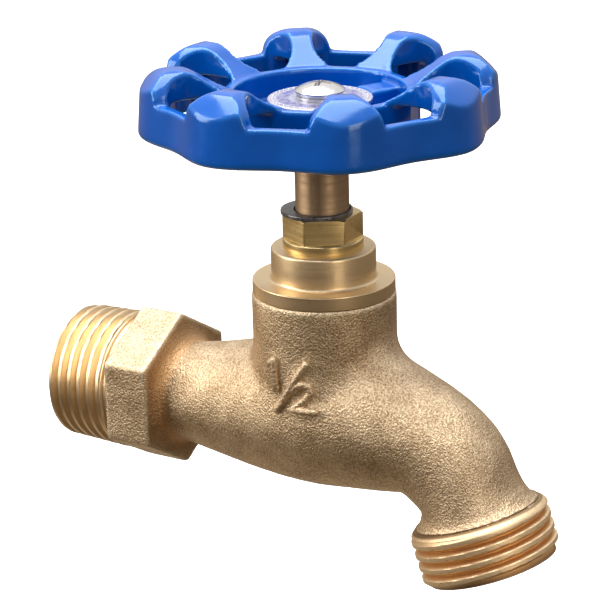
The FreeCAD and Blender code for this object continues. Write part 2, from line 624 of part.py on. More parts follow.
def window(angle):
    """A barrel-shaped hole between two spokes."""
    inner, middle, outer = WINDOW_INNER_R, WINDOW_MIDDLE_R, WINDOW_OUTER_R
    corners = [Vector(inner, WINDOW_INNER_HALF, 0), Vector(middle, WINDOW_MIDDLE_HALF, 0),
               Vector(outer, WINDOW_OUTER_HALF, 0)]
    mirrored = [Vector(p.x, -p.y, 0) for p in corners]
    edges = [Part.Arc(*corners).toShape(), Part.makeLine(corners[2], mirrored[2]),
             Part.Arc(mirrored[2], mirrored[1], mirrored[0]).toShape(),
             Part.makeLine(mirrored[0], corners[0])]
    height = HUMP_TOP - WHEEL_BOTTOM + 10
    cutter = Part.Face(Part.Wire(edges)).extrude(Vector(0, 0, height))
    upright = [e for e in cutter.Edges if e.BoundBox.ZLength > height - 1]
    cutter = cutter.makeFillet(WINDOW_CORNER, upright)
    cutter.rotate(Vector(0, 0, 0), UP, angle)
    cutter.translate(stem_point(WHEEL_BOTTOM - 5))
    return cutter


def handwheel():
    """The wheel: lobed rim, eight humped spokes, ring, floor, hub and webs."""
    outlines = [wheel_outline(WHEEL_BOTTOM, 0), wheel_outline(HUMP_TOP + 2, WALL_DRAFT)]
    prism_body = Part.makeLoft(outlines, True, False)
    low = [e for e in prism_body.Edges if e.BoundBox.ZMax < WHEEL_BOTTOM + 1e-3]
    prism_body = prism_body.makeFillet(RIM_EDGE_ROUND, low)
    swept = hump_profile().revolve(stem_point(0), UP, 360)
    swept = swept.common(prism_body)
    below = rod(LOBE_R + 5, WHEEL_BOTTOM - 1, RIM_TOP)
    spacing = 360.0 / HUMPS
    tunnels = [hump_tunnel(HUMP_ANGLE + spacing * k) for k in range(HUMPS)]
    keep = below.multiFuse(tunnels)
    wheel = swept.common(keep)
    windows = [window(HUMP_ANGLE + spacing * (k + 0.5)) for k in range(HUMPS)]
    wheel = wheel.cut(Part.makeCompound(windows))
    wheel = wheel.cut(ring(CHANNEL_OUTER_R, CHANNEL_INNER_R, WHEEL_BOTTOM - 1, SPOKE_BOTTOM))
    recess = ring(RING_R, HUB_R, FLOOR_TOP, HUMP_TOP).fuse(rod(RING_R, HUB_TOP, HUMP_TOP))
    under = ring(RING_R, HUB_R, WHEEL_BOTTOM - 1, FLOOR_BOTTOM)
    wheel = wheel.cut(recess).cut(under)
    webs = []
    for k in range(WEBS):
        web = Part.makeBox(RING_R + 0.5, WEB_WIDTH, WEB_TOP - FLOOR_TOP + 0.5,
                           stem_point(FLOOR_TOP - 0.5) - Vector(0, WEB_WIDTH / 2, 0))
        web.rotate(stem_point(0), UP, WEB_ANGLE + 360.0 / WEBS * k)
        webs.append(web)
    spider = webs[0].multiFuse(webs[1:]).cut(rod(PLATE_R + PLATE_CLEARANCE, HUB_TOP, HUMP_TOP))
    wheel = wheel.fuse(spider)
    cores = [Part.makeCylinder(CORE_R, CORE_TOP - WHEEL_BOTTOM + 1,
                               stem_point(WHEEL_BOTTOM - 1, CORE_AT, HUMP_ANGLE + spacing * k), UP)
             for k in range(HUMPS)]
    wheel = wheel.cut(Part.makeCompound(cores))
    size = SQUARE_ACROSS_FLATS + 2 * SQUARE_CLEARANCE
    hole = Part.makeBox(size, size, 30, stem_point(WHEEL_BOTTOM - 5) - Vector(size / 2, size / 2, 0))
    hole.rotate(stem_point(0), UP, WEB_ANGLE)
    hole = hole.common(rod(STEM_R + SQUARE_CLEARANCE, WHEEL_BOTTOM - 5, HUB_TOP + 5))
    return wheel.cut(hole)


def screwed_ring(radius, z0, z1):
    """A flat ring with a clear hole for the wheel's screw."""
    return ring(radius, SCREW_R + PLATE_HOLE_CLEARANCE, z0, z1)


def nameplate_disc():
    """The plain round plate on the hub."""
    return screwed_ring(PLATE_R, HUB_TOP, PLATE_TOP)


def flat_washer():
    """The flat washer on the plate."""
    return screwed_ring(FLAT_WASHER_R, PLATE_TOP, PLATE_TOP + FLAT_WASHER)


def lock_washer():
    """The split washer under the screw's head."""
    shape = screwed_ring(LOCK_WASHER_R, PLATE_TOP + FLAT_WASHER, SCREW_SEAT)
    split = Part.makeBox(LOCK_WASHER_R + 1, LOCK_WASHER_SPLIT, 4,
                         stem_point(PLATE_TOP) - Vector(0, LOCK_WASHER_SPLIT / 2, 0))
    split.rotate(stem_point(0), UP, LOCK_WASHER_ANGLE)
    return shape.cut(split)


def handwheel_screw():
    """The domed screw with a cross recess that holds the wheel on the stem."""
    dome = SCREW_HEAD_HEIGHT - SCREW_HEAD_EDGE
    ball_r = (SCREW_HEAD_R ** 2 + dome ** 2) / (2 * dome)
    top = SCREW_SEAT + SCREW_HEAD_HEIGHT
    ball = Part.makeSphere(ball_r, stem_point(top - ball_r))
    head = rod(SCREW_HEAD_R, SCREW_SEAT, top).common(ball)
    for turn in (RECESS_ANGLE, RECESS_ANGLE + 90):
        bar = Part.makeBox(RECESS_LENGTH, RECESS_WIDTH, RECESS_DEPTH + 1,
                           stem_point(top - RECESS_DEPTH) - Vector(RECESS_LENGTH / 2, RECESS_WIDTH / 2, 0))
        bar.rotate(stem_point(0), UP, turn)
        head = head.cut(bar)
    return head.fuse(rod(SCREW_R, SCREW_SEAT - SCREW_LENGTH, SCREW_SEAT))


def pieces():
    """Every piece of the tap under its name."""
    packing = PACKING_FLOOR
    return {
        "body_casting": body_casting(),
        "bonnet": bonnet(),
        "bonnet_gasket": bonnet_gasket(),
        "packing_bottom_washer": packing_washer(packing, PACKING_WASHER),
        "packing_ring_lower": packing_washer(packing + PACKING_WASHER, PACKING_RING),
        "packing_ring_upper": packing_washer(packing + PACKING_WASHER + PACKING_RING, PACKING_RING),
        "packing_follower": packing_washer(GLAND_BOTTOM - FOLLOWER, FOLLOWER),
        "packing_nut": packing_nut(),
        "nut_washer": nut_washer(),
        "disc_holder": disc_holder(),
        "seat_washer": seat_washer(),
        "seat_washer_screw": seat_washer_screw(),
        "stem": stem(),
        "disc_holder_pin": cross_pin(PIN_LENGTH),
        "handwheel": handwheel(),
        "nameplate_disc": nameplate_disc(),
        "flat_washer": flat_washer(),
        "lock_washer": lock_washer(),
        "handwheel_screw": handwheel_screw(),
    }


os.makedirs("parts", exist_ok=True)
for name, shape in pieces().items():
    shape.exportStep("parts/" + name + ".step")
    print(name, "valid", shape.isValid(), "solids", len(shape.Solids), "volume", round(shape.Volume, 2))
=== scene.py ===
# A small brass garden tap: cast body, turned bonnet and nut, threaded ends and a lobed blue handwheel.
# Metres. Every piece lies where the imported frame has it: +X from the inlet to the spout, +Z up the stem.
import contextlib
import json
import math

import bmesh
import bpy
from mathutils import Matrix, Vector
from mathutils.bvhtree import BVHTree


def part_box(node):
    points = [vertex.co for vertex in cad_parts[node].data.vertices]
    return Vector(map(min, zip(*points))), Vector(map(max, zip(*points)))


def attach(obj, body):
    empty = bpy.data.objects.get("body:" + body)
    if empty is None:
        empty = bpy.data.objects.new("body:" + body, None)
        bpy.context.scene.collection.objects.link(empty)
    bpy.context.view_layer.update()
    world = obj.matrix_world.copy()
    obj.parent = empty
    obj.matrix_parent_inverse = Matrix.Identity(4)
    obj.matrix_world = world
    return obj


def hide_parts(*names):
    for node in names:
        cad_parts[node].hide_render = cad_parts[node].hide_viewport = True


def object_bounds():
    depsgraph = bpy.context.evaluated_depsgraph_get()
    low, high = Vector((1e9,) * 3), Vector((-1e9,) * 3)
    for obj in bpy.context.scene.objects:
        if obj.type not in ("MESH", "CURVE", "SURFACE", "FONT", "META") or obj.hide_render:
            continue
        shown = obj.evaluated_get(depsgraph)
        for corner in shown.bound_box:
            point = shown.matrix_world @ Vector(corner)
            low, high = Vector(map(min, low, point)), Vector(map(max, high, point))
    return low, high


bl_info = {
    "name": "Garden Tap",
    "version": (1, 0, 0),
    "blender": (4, 5, 0),
    "location": "View3D > Sidebar > Garden Tap",
    "description": "Dresses the frame of a brass garden tap with its cast, turned and enamelled surfaces",
    "category": "Object",
}

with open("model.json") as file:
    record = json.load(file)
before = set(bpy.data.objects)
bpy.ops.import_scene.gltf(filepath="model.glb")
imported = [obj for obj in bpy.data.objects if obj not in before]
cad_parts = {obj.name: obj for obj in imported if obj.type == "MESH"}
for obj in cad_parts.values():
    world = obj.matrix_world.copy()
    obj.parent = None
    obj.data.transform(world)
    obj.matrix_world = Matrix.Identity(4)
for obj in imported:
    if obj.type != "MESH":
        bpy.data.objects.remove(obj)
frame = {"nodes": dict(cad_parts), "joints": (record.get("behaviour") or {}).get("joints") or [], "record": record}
CAD_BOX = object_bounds()
MM = 0.001
STEM = Vector(next(j["pos_m"] for j in frame["joints"] if j["name"] == "handwheel_turn"))
MOUNTS = {mount["name"]: mount for mount in frame["record"]["mounts"]}
OUTLET_END = Vector(MOUNTS["outlet_thread"]["pos_m"])
OUTLET_WAY = Vector(MOUNTS["outlet_thread"]["axis"]).normalized()
INLET_BORE = MOUNTS["inlet_bore"]["dims"]["r_mm"] * MM
OUTLET_BORE = MOUNTS["outlet_bore"]["dims"]["r_mm"] * MM
UP = Vector((0.0, 0.0, 1.0))

# The size mark stands on the front, which faces -Y, so it is laid by rays along +Y from 50 mm in front
RAY_WAY = Vector((0.0, 1.0, 0.0))
RAY_RUN_UP = RAY_WAY * 0.05
# Its strokes in millimetres, from and to: along X from the stem's axis, and up
MARK_HOOK = ((1.25, 8.0), (1.8, 8.75), (2.75, 9.1), (3.6, 8.8), (3.85, 7.95), (3.1, 6.75), (1.3, 5.2),
             (4.8, 5.25))
MARK_STROKES = ((-2.75, 11.4, -2.1, 12.0), (-2.1, 12.0, -1.75, 7.8), (3.2, 12.1, -1.35, 4.8)) + tuple(
    here + there for here, there in zip(MARK_HOOK, MARK_HOOK[1:]))
# Steps along each stroke, and the cell size of the strokes' own skin
MARK_STEPS = 30
MARK_CELL = 0.00011
# The patch of skin under the mark in metres: to the sides of the stem's axis, to the front, and up
PATCH_SIDES = (-0.0045, 0.0065)
PATCH_FRONT = -0.007
PATCH_HEIGHTS = (0.0028, 0.0138)

# Rounds of smoothing after each remesh, and how far a point stands out where its stored bulge is full, which sets
# the paler edges (part wear, part painted highlight) and the painted shade in hollows
CAST_ROUNDS = 4
WHEEL_ROUNDS = 5
MARK_ROUNDS = 3
BULGE_ROUNDS = 3
SKIN_BULGE = 0.00004
MARK_BULGE = 0.00002
# How far past the hexagon's back its edges are softened and its brown foot of painted shade lies, and how that
# painted shade fades
PAST_HEXAGON = 0.0004
FOOT_SHADE_PAST_HEXAGON = 0.0009
FOOT_SHADE_FADE = (0.0013, 0.0004)
# Size and seed of the cast skin's waves
CAST_WAVE_SIZE = 0.0026
CAST_SEED = 7.0

# Angles for flat faces that merge, edges that get a bevel, and edges that stay sharp in the shading
FLAT_WITHIN = math.radians(0.6)
BEVEL_FROM = math.radians(28)
SHARP_FROM = math.radians(24)
THREAD_SHARP_FROM = math.radians(35)

# The bores' edges, how far the inlet end reaches into the casting, and the curve of the outlet's shoulder
INLET_EDGE = 0.00015
OUTLET_EDGE = 0.0003
INTO_CASTING = 0.0003
SHOULDER_CURVE = 1.5
# The share of the pitch over which a thread's groove runs out
THREAD_FADE = 0.4
# Radii and heights between which the outlet's film, its end's shadow and its collar's line fade
FILM_RADII = (0.01020, 0.00955)
FILM_TOP = (0.0064, 0.0070)
END_SHADOW = (0.0009, 0.0003)
COLLAR_LINE = (0.0078, 0.00795)
# Radii between which the plate's printed ring begins and ends
PRINT_INNER = (0.0044, 0.0046)
PRINT_OUTER = (0.0061, 0.0063)

# Colours: the casting's paler edges, part rubbed wear and part painted highlight; painted shade in its hollows;
# and its brown foot under the pipe, painted shade behind the hexagon
CAST_EDGE_WEAR_AND_HIGHLIGHT = (0.85, 0.72, 0.52)
PAINTED_HOLLOW_SHADE = (0.42, 0.24, 0.11)
PAINTED_FOOT_SHADE = (0.52, 0.29, 0.12)
# The turned threads, the nut, the lighter blue on the wheel's convex edges and the blackened washer
INLET_BRASS = (0.79, 0.60, 0.375)
CREST_CREAM = (0.80, 0.61, 0.38)
NUT_BRASS = (0.78, 0.59, 0.28)
ENAMEL_EDGE = (0.02, 0.24, 0.68)
WASHER_BLACK = (0.26, 0.26, 0.28)
# The plate and its print, the screw and the two washers under it
PLATE = (0.62, 0.61, 0.68)
PRINT_VIOLET = (0.22, 0.20, 0.50)
NICKEL = (0.74, 0.72, 0.70)
ZINC = (0.66, 0.66, 0.67)
# Stains on brass, the nut, the stem, the screw and steel, and the blackened washer's dark mottle
BROWN_STAIN = (0.35, 0.2, 0.09)
NUT_STAIN = (0.25, 0.15, 0.06)
STEM_STAIN = (0.22, 0.12, 0.07)
NICKEL_STAIN = (0.3, 0.28, 0.25)
GREY_STAIN = (0.2, 0.2, 0.2)
WASHER_MOTTLE = (0.12, 0.12, 0.125)
# The outlet's specks, the shadow at its end and the line under its collar
SPECK_BROWN = (0.40, 0.26, 0.13)
END_BROWN = (0.16, 0.10, 0.07)
COLLAR_BROWN = (0.20, 0.12, 0.06)
# The plate where its print is worn through, and the print's haze on the bare plate
WORN_PRINT = (0.55, 0.55, 0.64)
PRINT_HAZE = (0.40, 0.38, 0.60)
# Light and dark mottle of the hidden packing, rubber and fibre, and the hidden steel
PACKING = ((0.09, 0.09, 0.095), (0.03, 0.03, 0.032))
RUBBER = ((0.05, 0.05, 0.05), (0.02, 0.02, 0.02))
FIBRE = ((0.42, 0.13, 0.08), (0.22, 0.06, 0.04))
HIDDEN_STEEL = (0.62, 0.62, 0.62)
# How many dots stand round the plate, the radius of their ring and of one dot
DOTS = 44
DOT_RING = 0.00685
DOT_RADIUS = 0.00017

# Axes that tool lines run across, the lines' fineness beside and along such an axis, and their depth
ACROSS_X = 0
ACROSS_Z = 2
FINE_LINES = (30.0, 9000.0)
BROAD_LINES = (40.0, 1800.0)
LINE_DEPTH = 0.000012

# The screw's and the washers' broken edges as shares of the turned edge
SCREW_EDGE = 0.7
WASHER_EDGE = 0.5

# Lamps: name, place, width and height, watts and colour; all look at the tap's middle
LAMP_AIM = (0.045, 0.0, 0.02)
LAMPS = (
    ("top_light", (-0.05, -0.02, 0.62), (0.7, 0.6), 6.5, (1.0, 1.0, 1.0)),
    ("left_light", (-0.46, -0.40, 0.26), (0.36, 0.50), 2.9, (1.0, 0.94, 0.85)),
    ("right_light", (0.62, -0.30, 0.20), (0.20, 0.45), 0.9, (1.0, 0.85, 0.66)),
    ("low_light", (-0.07, 0.046, -0.14), (0.24, 0.24), 0.05, (1.0, 0.86, 0.66)),
)
# The room's colours from straight below, 0, to straight above, 1, and its strength in front and behind
ROOM_BANDS = (
    (0.0, (0.22, 0.165, 0.115)), (0.10, (0.19, 0.145, 0.10)), (0.20, (0.11, 0.085, 0.06)),
    (0.30, (0.13, 0.10, 0.07)), (0.37, (0.20, 0.155, 0.11)), (0.47, (0.28, 0.22, 0.165)),
    (0.55, (0.42, 0.36, 0.29)), (0.72, (0.84, 0.84, 0.84)), (1.0, (0.95, 0.95, 0.97)),
)
ROOM_STRENGTH = (0.6, 1.25)
# The floor's half width in metres, its paint and its own glow
FLOOR_HALF = 6.0
FLOOR_GREY = (0.9, 0.9, 0.9)
FLOOR_ROUGHNESS = 0.9
FLOOR_GLOW = 0.75
# The camera's sensor in millimetres and the nearest distance that it sees in metres
SENSOR_WIDTH = 36.0
CLIP_START = 0.01


class TapShape(bpy.types.PropertyGroup):
    """Sizes of the casting's skin and the wheel"""
    cast_voxel: bpy.props.FloatProperty(
        name="Cast skin cell", description="Cell size of the remeshed cast body",
        default=0.00036, min=0.0002, max=0.001, precision=5, unit="LENGTH")
    wheel_voxel: bpy.props.FloatProperty(
        name="Wheel cell", description="Cell size of the remeshed handwheel",
        default=0.0003, min=0.0002, max=0.001, precision=5, unit="LENGTH")
    machined_bevel: bpy.props.FloatProperty(
        name="Turned edge", description="Width of the broken edges on turned and milled pieces",
        default=0.00013, min=0.0, max=0.0005, precision=5, unit="LENGTH")
    cast_wave: bpy.props.FloatProperty(
        name="Cast unevenness", description="How far the cast skin swells and dips",
        default=0.00005, min=0.0, max=0.0003, precision=5, unit="LENGTH")
    hex_back: bpy.props.FloatProperty(
        name="Hexagon back", description="Where the cast hexagon ends and the pipe begins",
        default=0.01875, min=0.01, max=0.03, precision=5, unit="LENGTH")
    hex_start: bpy.props.FloatProperty(
        name="Hexagon start", description="Where the cast hexagon begins along the inlet",
        default=0.01095, min=0.005, max=0.02, precision=5, unit="LENGTH")
    edge_rounds: bpy.props.IntProperty(
        name="Edge rounds", description="How often the cast hexagon's edges are softened",
        default=9, min=0, max=60)
    mark_bead: bpy.props.FloatProperty(
        name="Mark bead", description="Radius of the rounded strokes of the raised size mark",
        default=0.00060, min=0.0002, max=0.001, precision=5, unit="LENGTH")
    mark_rise: bpy.props.FloatProperty(
        name="Mark rise", description="How far the middle of a stroke lies outside the cast skin",
        default=0.00016, min=-0.0003, max=0.0005, precision=5, unit="LENGTH")
    mark_rounds: bpy.props.IntProperty(
        name="Skin under the mark", description="How often the skin under the size mark is evened out",
        default=45, min=0, max=200)
    collar_above_end: bpy.props.FloatProperty(
        name="Collar height", description="From the spout's free end up to its cast collar's end",
        default=0.00805, min=0.004, max=0.02, precision=5, unit="LENGTH")
    humps: bpy.props.IntProperty(
        name="Humps", description="Grips round the handwheel", default=8, min=3, max=16)
    hump_angle: bpy.props.FloatProperty(
        name="Hump angle", description="Where the first grip stands, from the +X direction",
        default=math.radians(-4.45), subtype="ANGLE")
    hub_radius: bpy.props.FloatProperty(
        name="Hub radius", description="Half width of the eight-sided middle part that doesn't repeat",
        default=0.0132, min=0.005, max=0.02, precision=5, unit="LENGTH")
    overlap: bpy.props.FloatProperty(
        name="Overlap", description="How far neighbouring parts of the wheel reach into each other",
        default=0.0006, min=0.0002, max=0.002, precision=5, unit="LENGTH")


class TapThreads(bpy.types.PropertyGroup):
    """Sizes of the two threaded ends"""
    pitch: bpy.props.FloatProperty(
        name="Pitch", description="Fourteen turns to the inch",
        default=0.001814, precision=6, unit="LENGTH")
    depth: bpy.props.FloatProperty(
        name="Depth", description="From crest to root", default=0.00105, precision=5, unit="LENGTH")
    root_flat: bpy.props.FloatProperty(
        name="Root flat", description="Width of the groove's floor",
        default=0.00014, precision=5, unit="LENGTH")
    flank: bpy.props.FloatProperty(
        name="Flank angle", description="Lean of each side of the groove",
        default=math.radians(27.5), subtype="ANGLE")
    inlet_radius: bpy.props.FloatProperty(
        name="Inlet crest radius", description="At the inlet's free end",
        default=0.01025, precision=5, unit="LENGTH")
    inlet_taper: bpy.props.FloatProperty(
        name="Inlet taper", description="Growth of the radius along the inlet",
        default=1.0 / 32.0, precision=4)
    inlet_length: bpy.props.FloatProperty(
        name="Inlet thread length", description="Up to the turned relief",
        default=0.0102, precision=5, unit="LENGTH")
    inlet_relief: bpy.props.FloatProperty(
        name="Inlet relief", description="How far the relief lies under the crests",
        default=0.00035, precision=5, unit="LENGTH")
    inlet_lead: bpy.props.FloatProperty(
        name="Inlet lead", description="Bevel at the inlet's free end",
        default=0.0003, precision=5, unit="LENGTH")
    outlet_radius: bpy.props.FloatProperty(
        name="Outlet crest radius", description="The outlet's thread runs parallel",
        default=0.01036, precision=5, unit="LENGTH")
    outlet_lead: bpy.props.FloatProperty(
        name="Outlet lead", description="Bevel at the spout's free end",
        default=0.0008, precision=5, unit="LENGTH")
    shoulder: bpy.props.FloatProperty(
        name="Shoulder", description="Height of the turned band between thread and collar",
        default=0.00095, precision=5, unit="LENGTH")
    collar_radius: bpy.props.FloatProperty(
        name="Collar radius", description="Where the turned band meets the cast collar",
        default=0.0096, precision=5, unit="LENGTH")
    outlet_turn: bpy.props.FloatProperty(
        name="Outlet thread turn", description="Where the outlet's groove starts, about its axis",
        default=math.radians(175.0), subtype="ANGLE")
    row_height: bpy.props.FloatProperty(
        name="Row height", description="Distance between the rows of points on a thread",
        default=0.00009, min=0.00004, max=0.0003, precision=5, unit="LENGTH")
    steps: bpy.props.IntProperty(
        name="Steps round", description="Points round a threaded end", default=288, min=64, max=512)


class TapFinish(bpy.types.PropertyGroup):
    """Colours and grain"""
    cast_light: bpy.props.FloatVectorProperty(
        name="Cast brass, high spots", description="Colour of the tumbled high spots of the casting",
        subtype="COLOR", default=(0.78, 0.61, 0.41), min=0.0, max=1.0)
    cast_dark: bpy.props.FloatVectorProperty(
        name="Cast brass, pits", description="Colour in the pits and hollows of the casting",
        subtype="COLOR", default=(0.28, 0.175, 0.09), min=0.0, max=1.0)
    grain_size: bpy.props.FloatProperty(
        name="Sand grain", description="Size of the casting sand's grain",
        default=0.00028, min=0.0001, max=0.002, precision=5, unit="LENGTH")
    grain_height: bpy.props.FloatProperty(
        name="Sand grain height", description="Height of the casting sand's grain",
        default=0.00012, min=0.0, max=0.0005, precision=5, unit="LENGTH")
    turned_brass: bpy.props.FloatVectorProperty(
        name="Turned brass", description="Colour of the turned faces",
        subtype="COLOR", default=(0.78, 0.60, 0.37), min=0.0, max=1.0)
    stem_brass: bpy.props.FloatVectorProperty(
        name="Stem brass", description="Colour of the browner stem",
        subtype="COLOR", default=(0.385, 0.27, 0.168), min=0.0, max=1.0)
    groove_brown: bpy.props.FloatVectorProperty(
        name="Thread grooves", description="Orange brown film in the outlet's grooves",
        subtype="COLOR", default=(0.76, 0.46, 0.20), min=0.0, max=1.0)
    enamel: bpy.props.FloatVectorProperty(
        name="Enamel", description="Colour of the handwheel's gloss enamel",
        subtype="COLOR", default=(0.0, 0.085, 0.45), min=0.0, max=1.0)


class TapStage(bpy.types.PropertyGroup):
    """Camera and floor"""
    azimuth: bpy.props.FloatProperty(
        name="Azimuth", description="Where the camera stands round the tap",
        default=math.radians(32.545), subtype="ANGLE")
    elevation: bpy.props.FloatProperty(
        name="Elevation", description="How high the camera looks down from",
        default=math.radians(18.665), subtype="ANGLE")
    roll: bpy.props.FloatProperty(
        name="Roll", description="Tilt of the camera about its own axis",
        default=math.radians(-1.359), subtype="ANGLE")
    eye: bpy.props.FloatVectorProperty(
        name="Eye", description="Where the camera stands", subtype="TRANSLATION",
        default=(0.23843, -0.30900, 0.14051), unit="LENGTH")
    lens: bpy.props.FloatProperty(
        name="Lens", description="Focal length in millimetres on a 36 mm wide sensor",
        default=154.03, min=10.0)
    floor_drop: bpy.props.FloatProperty(
        name="Floor below", description="How far the floor lies under the spout's end",
        default=0.16, min=0.0, unit="LENGTH")


# Node helpers

class Nodes:
    """A node tree, with short calls to add and join its nodes."""

    def __init__(self, tree):
        self.tree = tree

    def feed(self, socket, value):
        """Sets an input to a value, or joins another node's output to it."""
        if isinstance(value, bpy.types.NodeSocket):
            self.tree.links.new(value, socket)
        elif socket.type == "RGBA" and len(value) == 3:
            socket.default_value = (*value, 1.0)
        else:
            socket.default_value = value

    def node(self, kind, **inputs):
        """Adds a node and feeds its inputs; an underscore in a name stands for a space."""
        node = self.tree.nodes.new(kind)
        for label, value in inputs.items():
            self.feed(node.inputs[label.replace("_", " ")], value)
        return node

    def maths(self, kind, *values):
        """A number worked out from numbers or other nodes' outputs."""
        node = self.node("ShaderNodeMath")
        node.operation = kind
        for socket, value in zip(node.inputs, values):
            self.feed(socket, value)
        return node.outputs[0]

    def add(self, a, b):
        """Two values added."""
        return self.maths("ADD", a, b)

    def less(self, a, b):
        """The first value less the second."""
        return self.maths("SUBTRACT", a, b)

    def times(self, a, b):
        """Two values multiplied."""
        return self.maths("MULTIPLY", a, b)

    def over(self, a, b):
        """The first value divided by the second."""
        return self.maths("DIVIDE", a, b)

    def remap(self, value, low, high, to_low=0.0, to_high=1.0, kind="LINEAR"):
        """A value carried from one range to another and held inside it."""
        node = self.node("ShaderNodeMapRange", Value=value, From_Min=low, From_Max=high, To_Min=to_low,
                         To_Max=to_high)
        node.interpolation_type = kind
        return node.outputs["Result"]

    def split(self, vector):
        """A vector's three parts."""
        return self.node("ShaderNodeSeparateXYZ", Vector=vector).outputs


class Graph(Nodes):
    """A material's nodes."""

    def __init__(self, name):
        self.material = bpy.data.materials.new(name)
        self.material.use_nodes = True
        super().__init__(self.material.node_tree)
        self.shader = self.tree.nodes["Principled BSDF"]
        self.where = self.node("ShaderNodeTexCoord").outputs["Object"]

    def mapped(self, scale=(1.0, 1.0, 1.0), move=(0.0, 0.0, 0.0), turn=(0.0, 0.0, 0.0)):
        """Object coordinates, moved, turned and scaled."""
        node = self.node("ShaderNodeMapping", Location=move, Rotation=turn, Scale=scale,
                         Vector=self.where)
        return node.outputs["Vector"]

    def noise(self, size, detail=3.0, rough=0.55, where=None):
        """Smooth random values of about the given size in metres."""
        node = self.node("ShaderNodeTexNoise", Scale=1.0 / size, Detail=detail, Roughness=rough,
                         Vector=where or self.where)
        return node.outputs["Fac"]

    def cells(self, size, smoothness=0.6):
        """Distance to the nearest of many scattered points, for pits and lumps."""
        node = self.node("ShaderNodeTexVoronoi", Scale=1.0 / size, Vector=self.where)
        node.feature = "SMOOTH_F1"
        node.inputs["Smoothness"].default_value = smoothness
        return node.outputs["Distance"]

    def mix(self, factor, a, b):
        """The first colour where the factor is 0, the second where it is 1."""
        node = self.node("ShaderNodeMix")
        node.data_type = "RGBA"
        self.feed(node.inputs["Factor"], factor)
        self.feed(node.inputs[6], a)
        self.feed(node.inputs[7], b)
        return node.outputs[2]

    def tint(self, base, over, mask, share):
        """Lays a share of a colour over another where a mask is high."""
        return self.mix(self.times(mask, share), base, over)

    def attribute(self, name):
        """A number stored on the mesh's points."""
        node = self.node("ShaderNodeAttribute")
        node.attribute_name = name
        return node.outputs["Fac"]

    def radius(self, vector):
        """Distance from the vector's own Z axis."""
        x, y, _z = self.split(vector)
        return self.maths("POWER", self.add(self.times(x, x), self.times(y, y)), 0.5)

    def bump(self, height, distance, strength):
        """A normal bent by a height."""
        node = self.node("ShaderNodeBump", Distance=distance, Strength=strength, Height=height)
        return node.outputs["Normal"]

    def surface(self, base, roughness, normal=None, metallic=1.0):
        """Feeds the material's shader and returns the material."""
        self.feed(self.shader.inputs["Base Color"], base)
        self.feed(self.shader.inputs["Roughness"], roughness)
        self.shader.inputs["Metallic"].default_value = metallic
        if normal is not None:
            self.feed(self.shader.inputs["Normal"], normal)
        return self.material


# Materials

def cast_skin(finish, hex_back):
    """Sand-cast and tumbled brass: fine grain, pale high spots, dark pits, brown painted shade in the hollows and
    at the pipe's foot, and paler edges that are part wear and part painted highlight.
    """
    g = Graph("cast_skin")
    grain = g.noise(finish.grain_size, detail=2.5, rough=0.6)
    lumps = g.cells(finish.grain_size * 1.8)
    height = g.less(g.remap(grain, 0.25, 0.75), g.times(lumps, 0.4))
    blotch = g.noise(0.004)
    pits = g.remap(grain, 0.40, 0.58)
    tone = g.add(g.times(pits, 0.55), g.remap(blotch, 0.3, 0.7, 0.1, 0.5))
    skin = g.mix(tone, finish.cast_dark, finish.cast_light)
    # Painted shade: brown laid into the hollows, where the stored bulge is below zero
    hollow_shade_mask = g.remap(g.attribute("bulge"), -0.1, -0.5)
    skin = g.tint(skin, PAINTED_HOLLOW_SHADE, hollow_shade_mask, share=0.6)
    # Painted shade: a brown band round the pipe's foot just behind the hexagon
    foot_shade_at = hex_back + FOOT_SHADE_PAST_HEXAGON
    from_foot_shade = g.maths("ABSOLUTE", g.less(g.split(g.where)[0], foot_shade_at))
    skin = g.tint(skin, PAINTED_FOOT_SHADE, g.remap(from_foot_shade, *FOOT_SHADE_FADE), share=0.75)
    # Paler edges where the stored bulge is high: part rubbed wear, part painted highlight
    edge = g.remap(g.attribute("bulge"), 0.12, 0.5)
    skin = g.tint(skin, CAST_EDGE_WEAR_AND_HIGHLIGHT, edge, share=0.5)
    rough = g.remap(grain, 0.35, 0.65, 0.52, 0.36)
    return g.surface(skin, rough, g.bump(height, finish.grain_height, strength=0.8))


def turned_metal(name, metal, dark, lines, rough=(0.2, 0.34), stain=0.25):
    """Turned metal with fine tool lines across the given axis and a few faint stains."""
    g = Graph(name)
    fine = [FINE_LINES[axis == lines] for axis in range(3)]
    broad = [BROAD_LINES[axis == lines] for axis in range(3)]
    tool = g.noise(1.0, detail=2.0, rough=0.6, where=g.mapped(fine))
    bands = g.noise(1.0, detail=1.0, rough=0.5, where=g.mapped(broad))
    spots = g.remap(g.noise(0.0016, detail=4.0, rough=0.65), 0.60, 0.72)
    tone = g.remap(g.times(g.add(tool, bands), 0.5), 0.35, 0.65)
    shade = g.tint(metal, [part * 0.72 for part in metal], tone, share=0.35)
    shade = g.tint(shade, dark, spots, share=stain)
    roughness = g.remap(tone, 0.0, 1.0, *rough)
    return g.surface(shade, roughness, g.bump(g.add(tool, bands), LINE_DEPTH, strength=0.6))


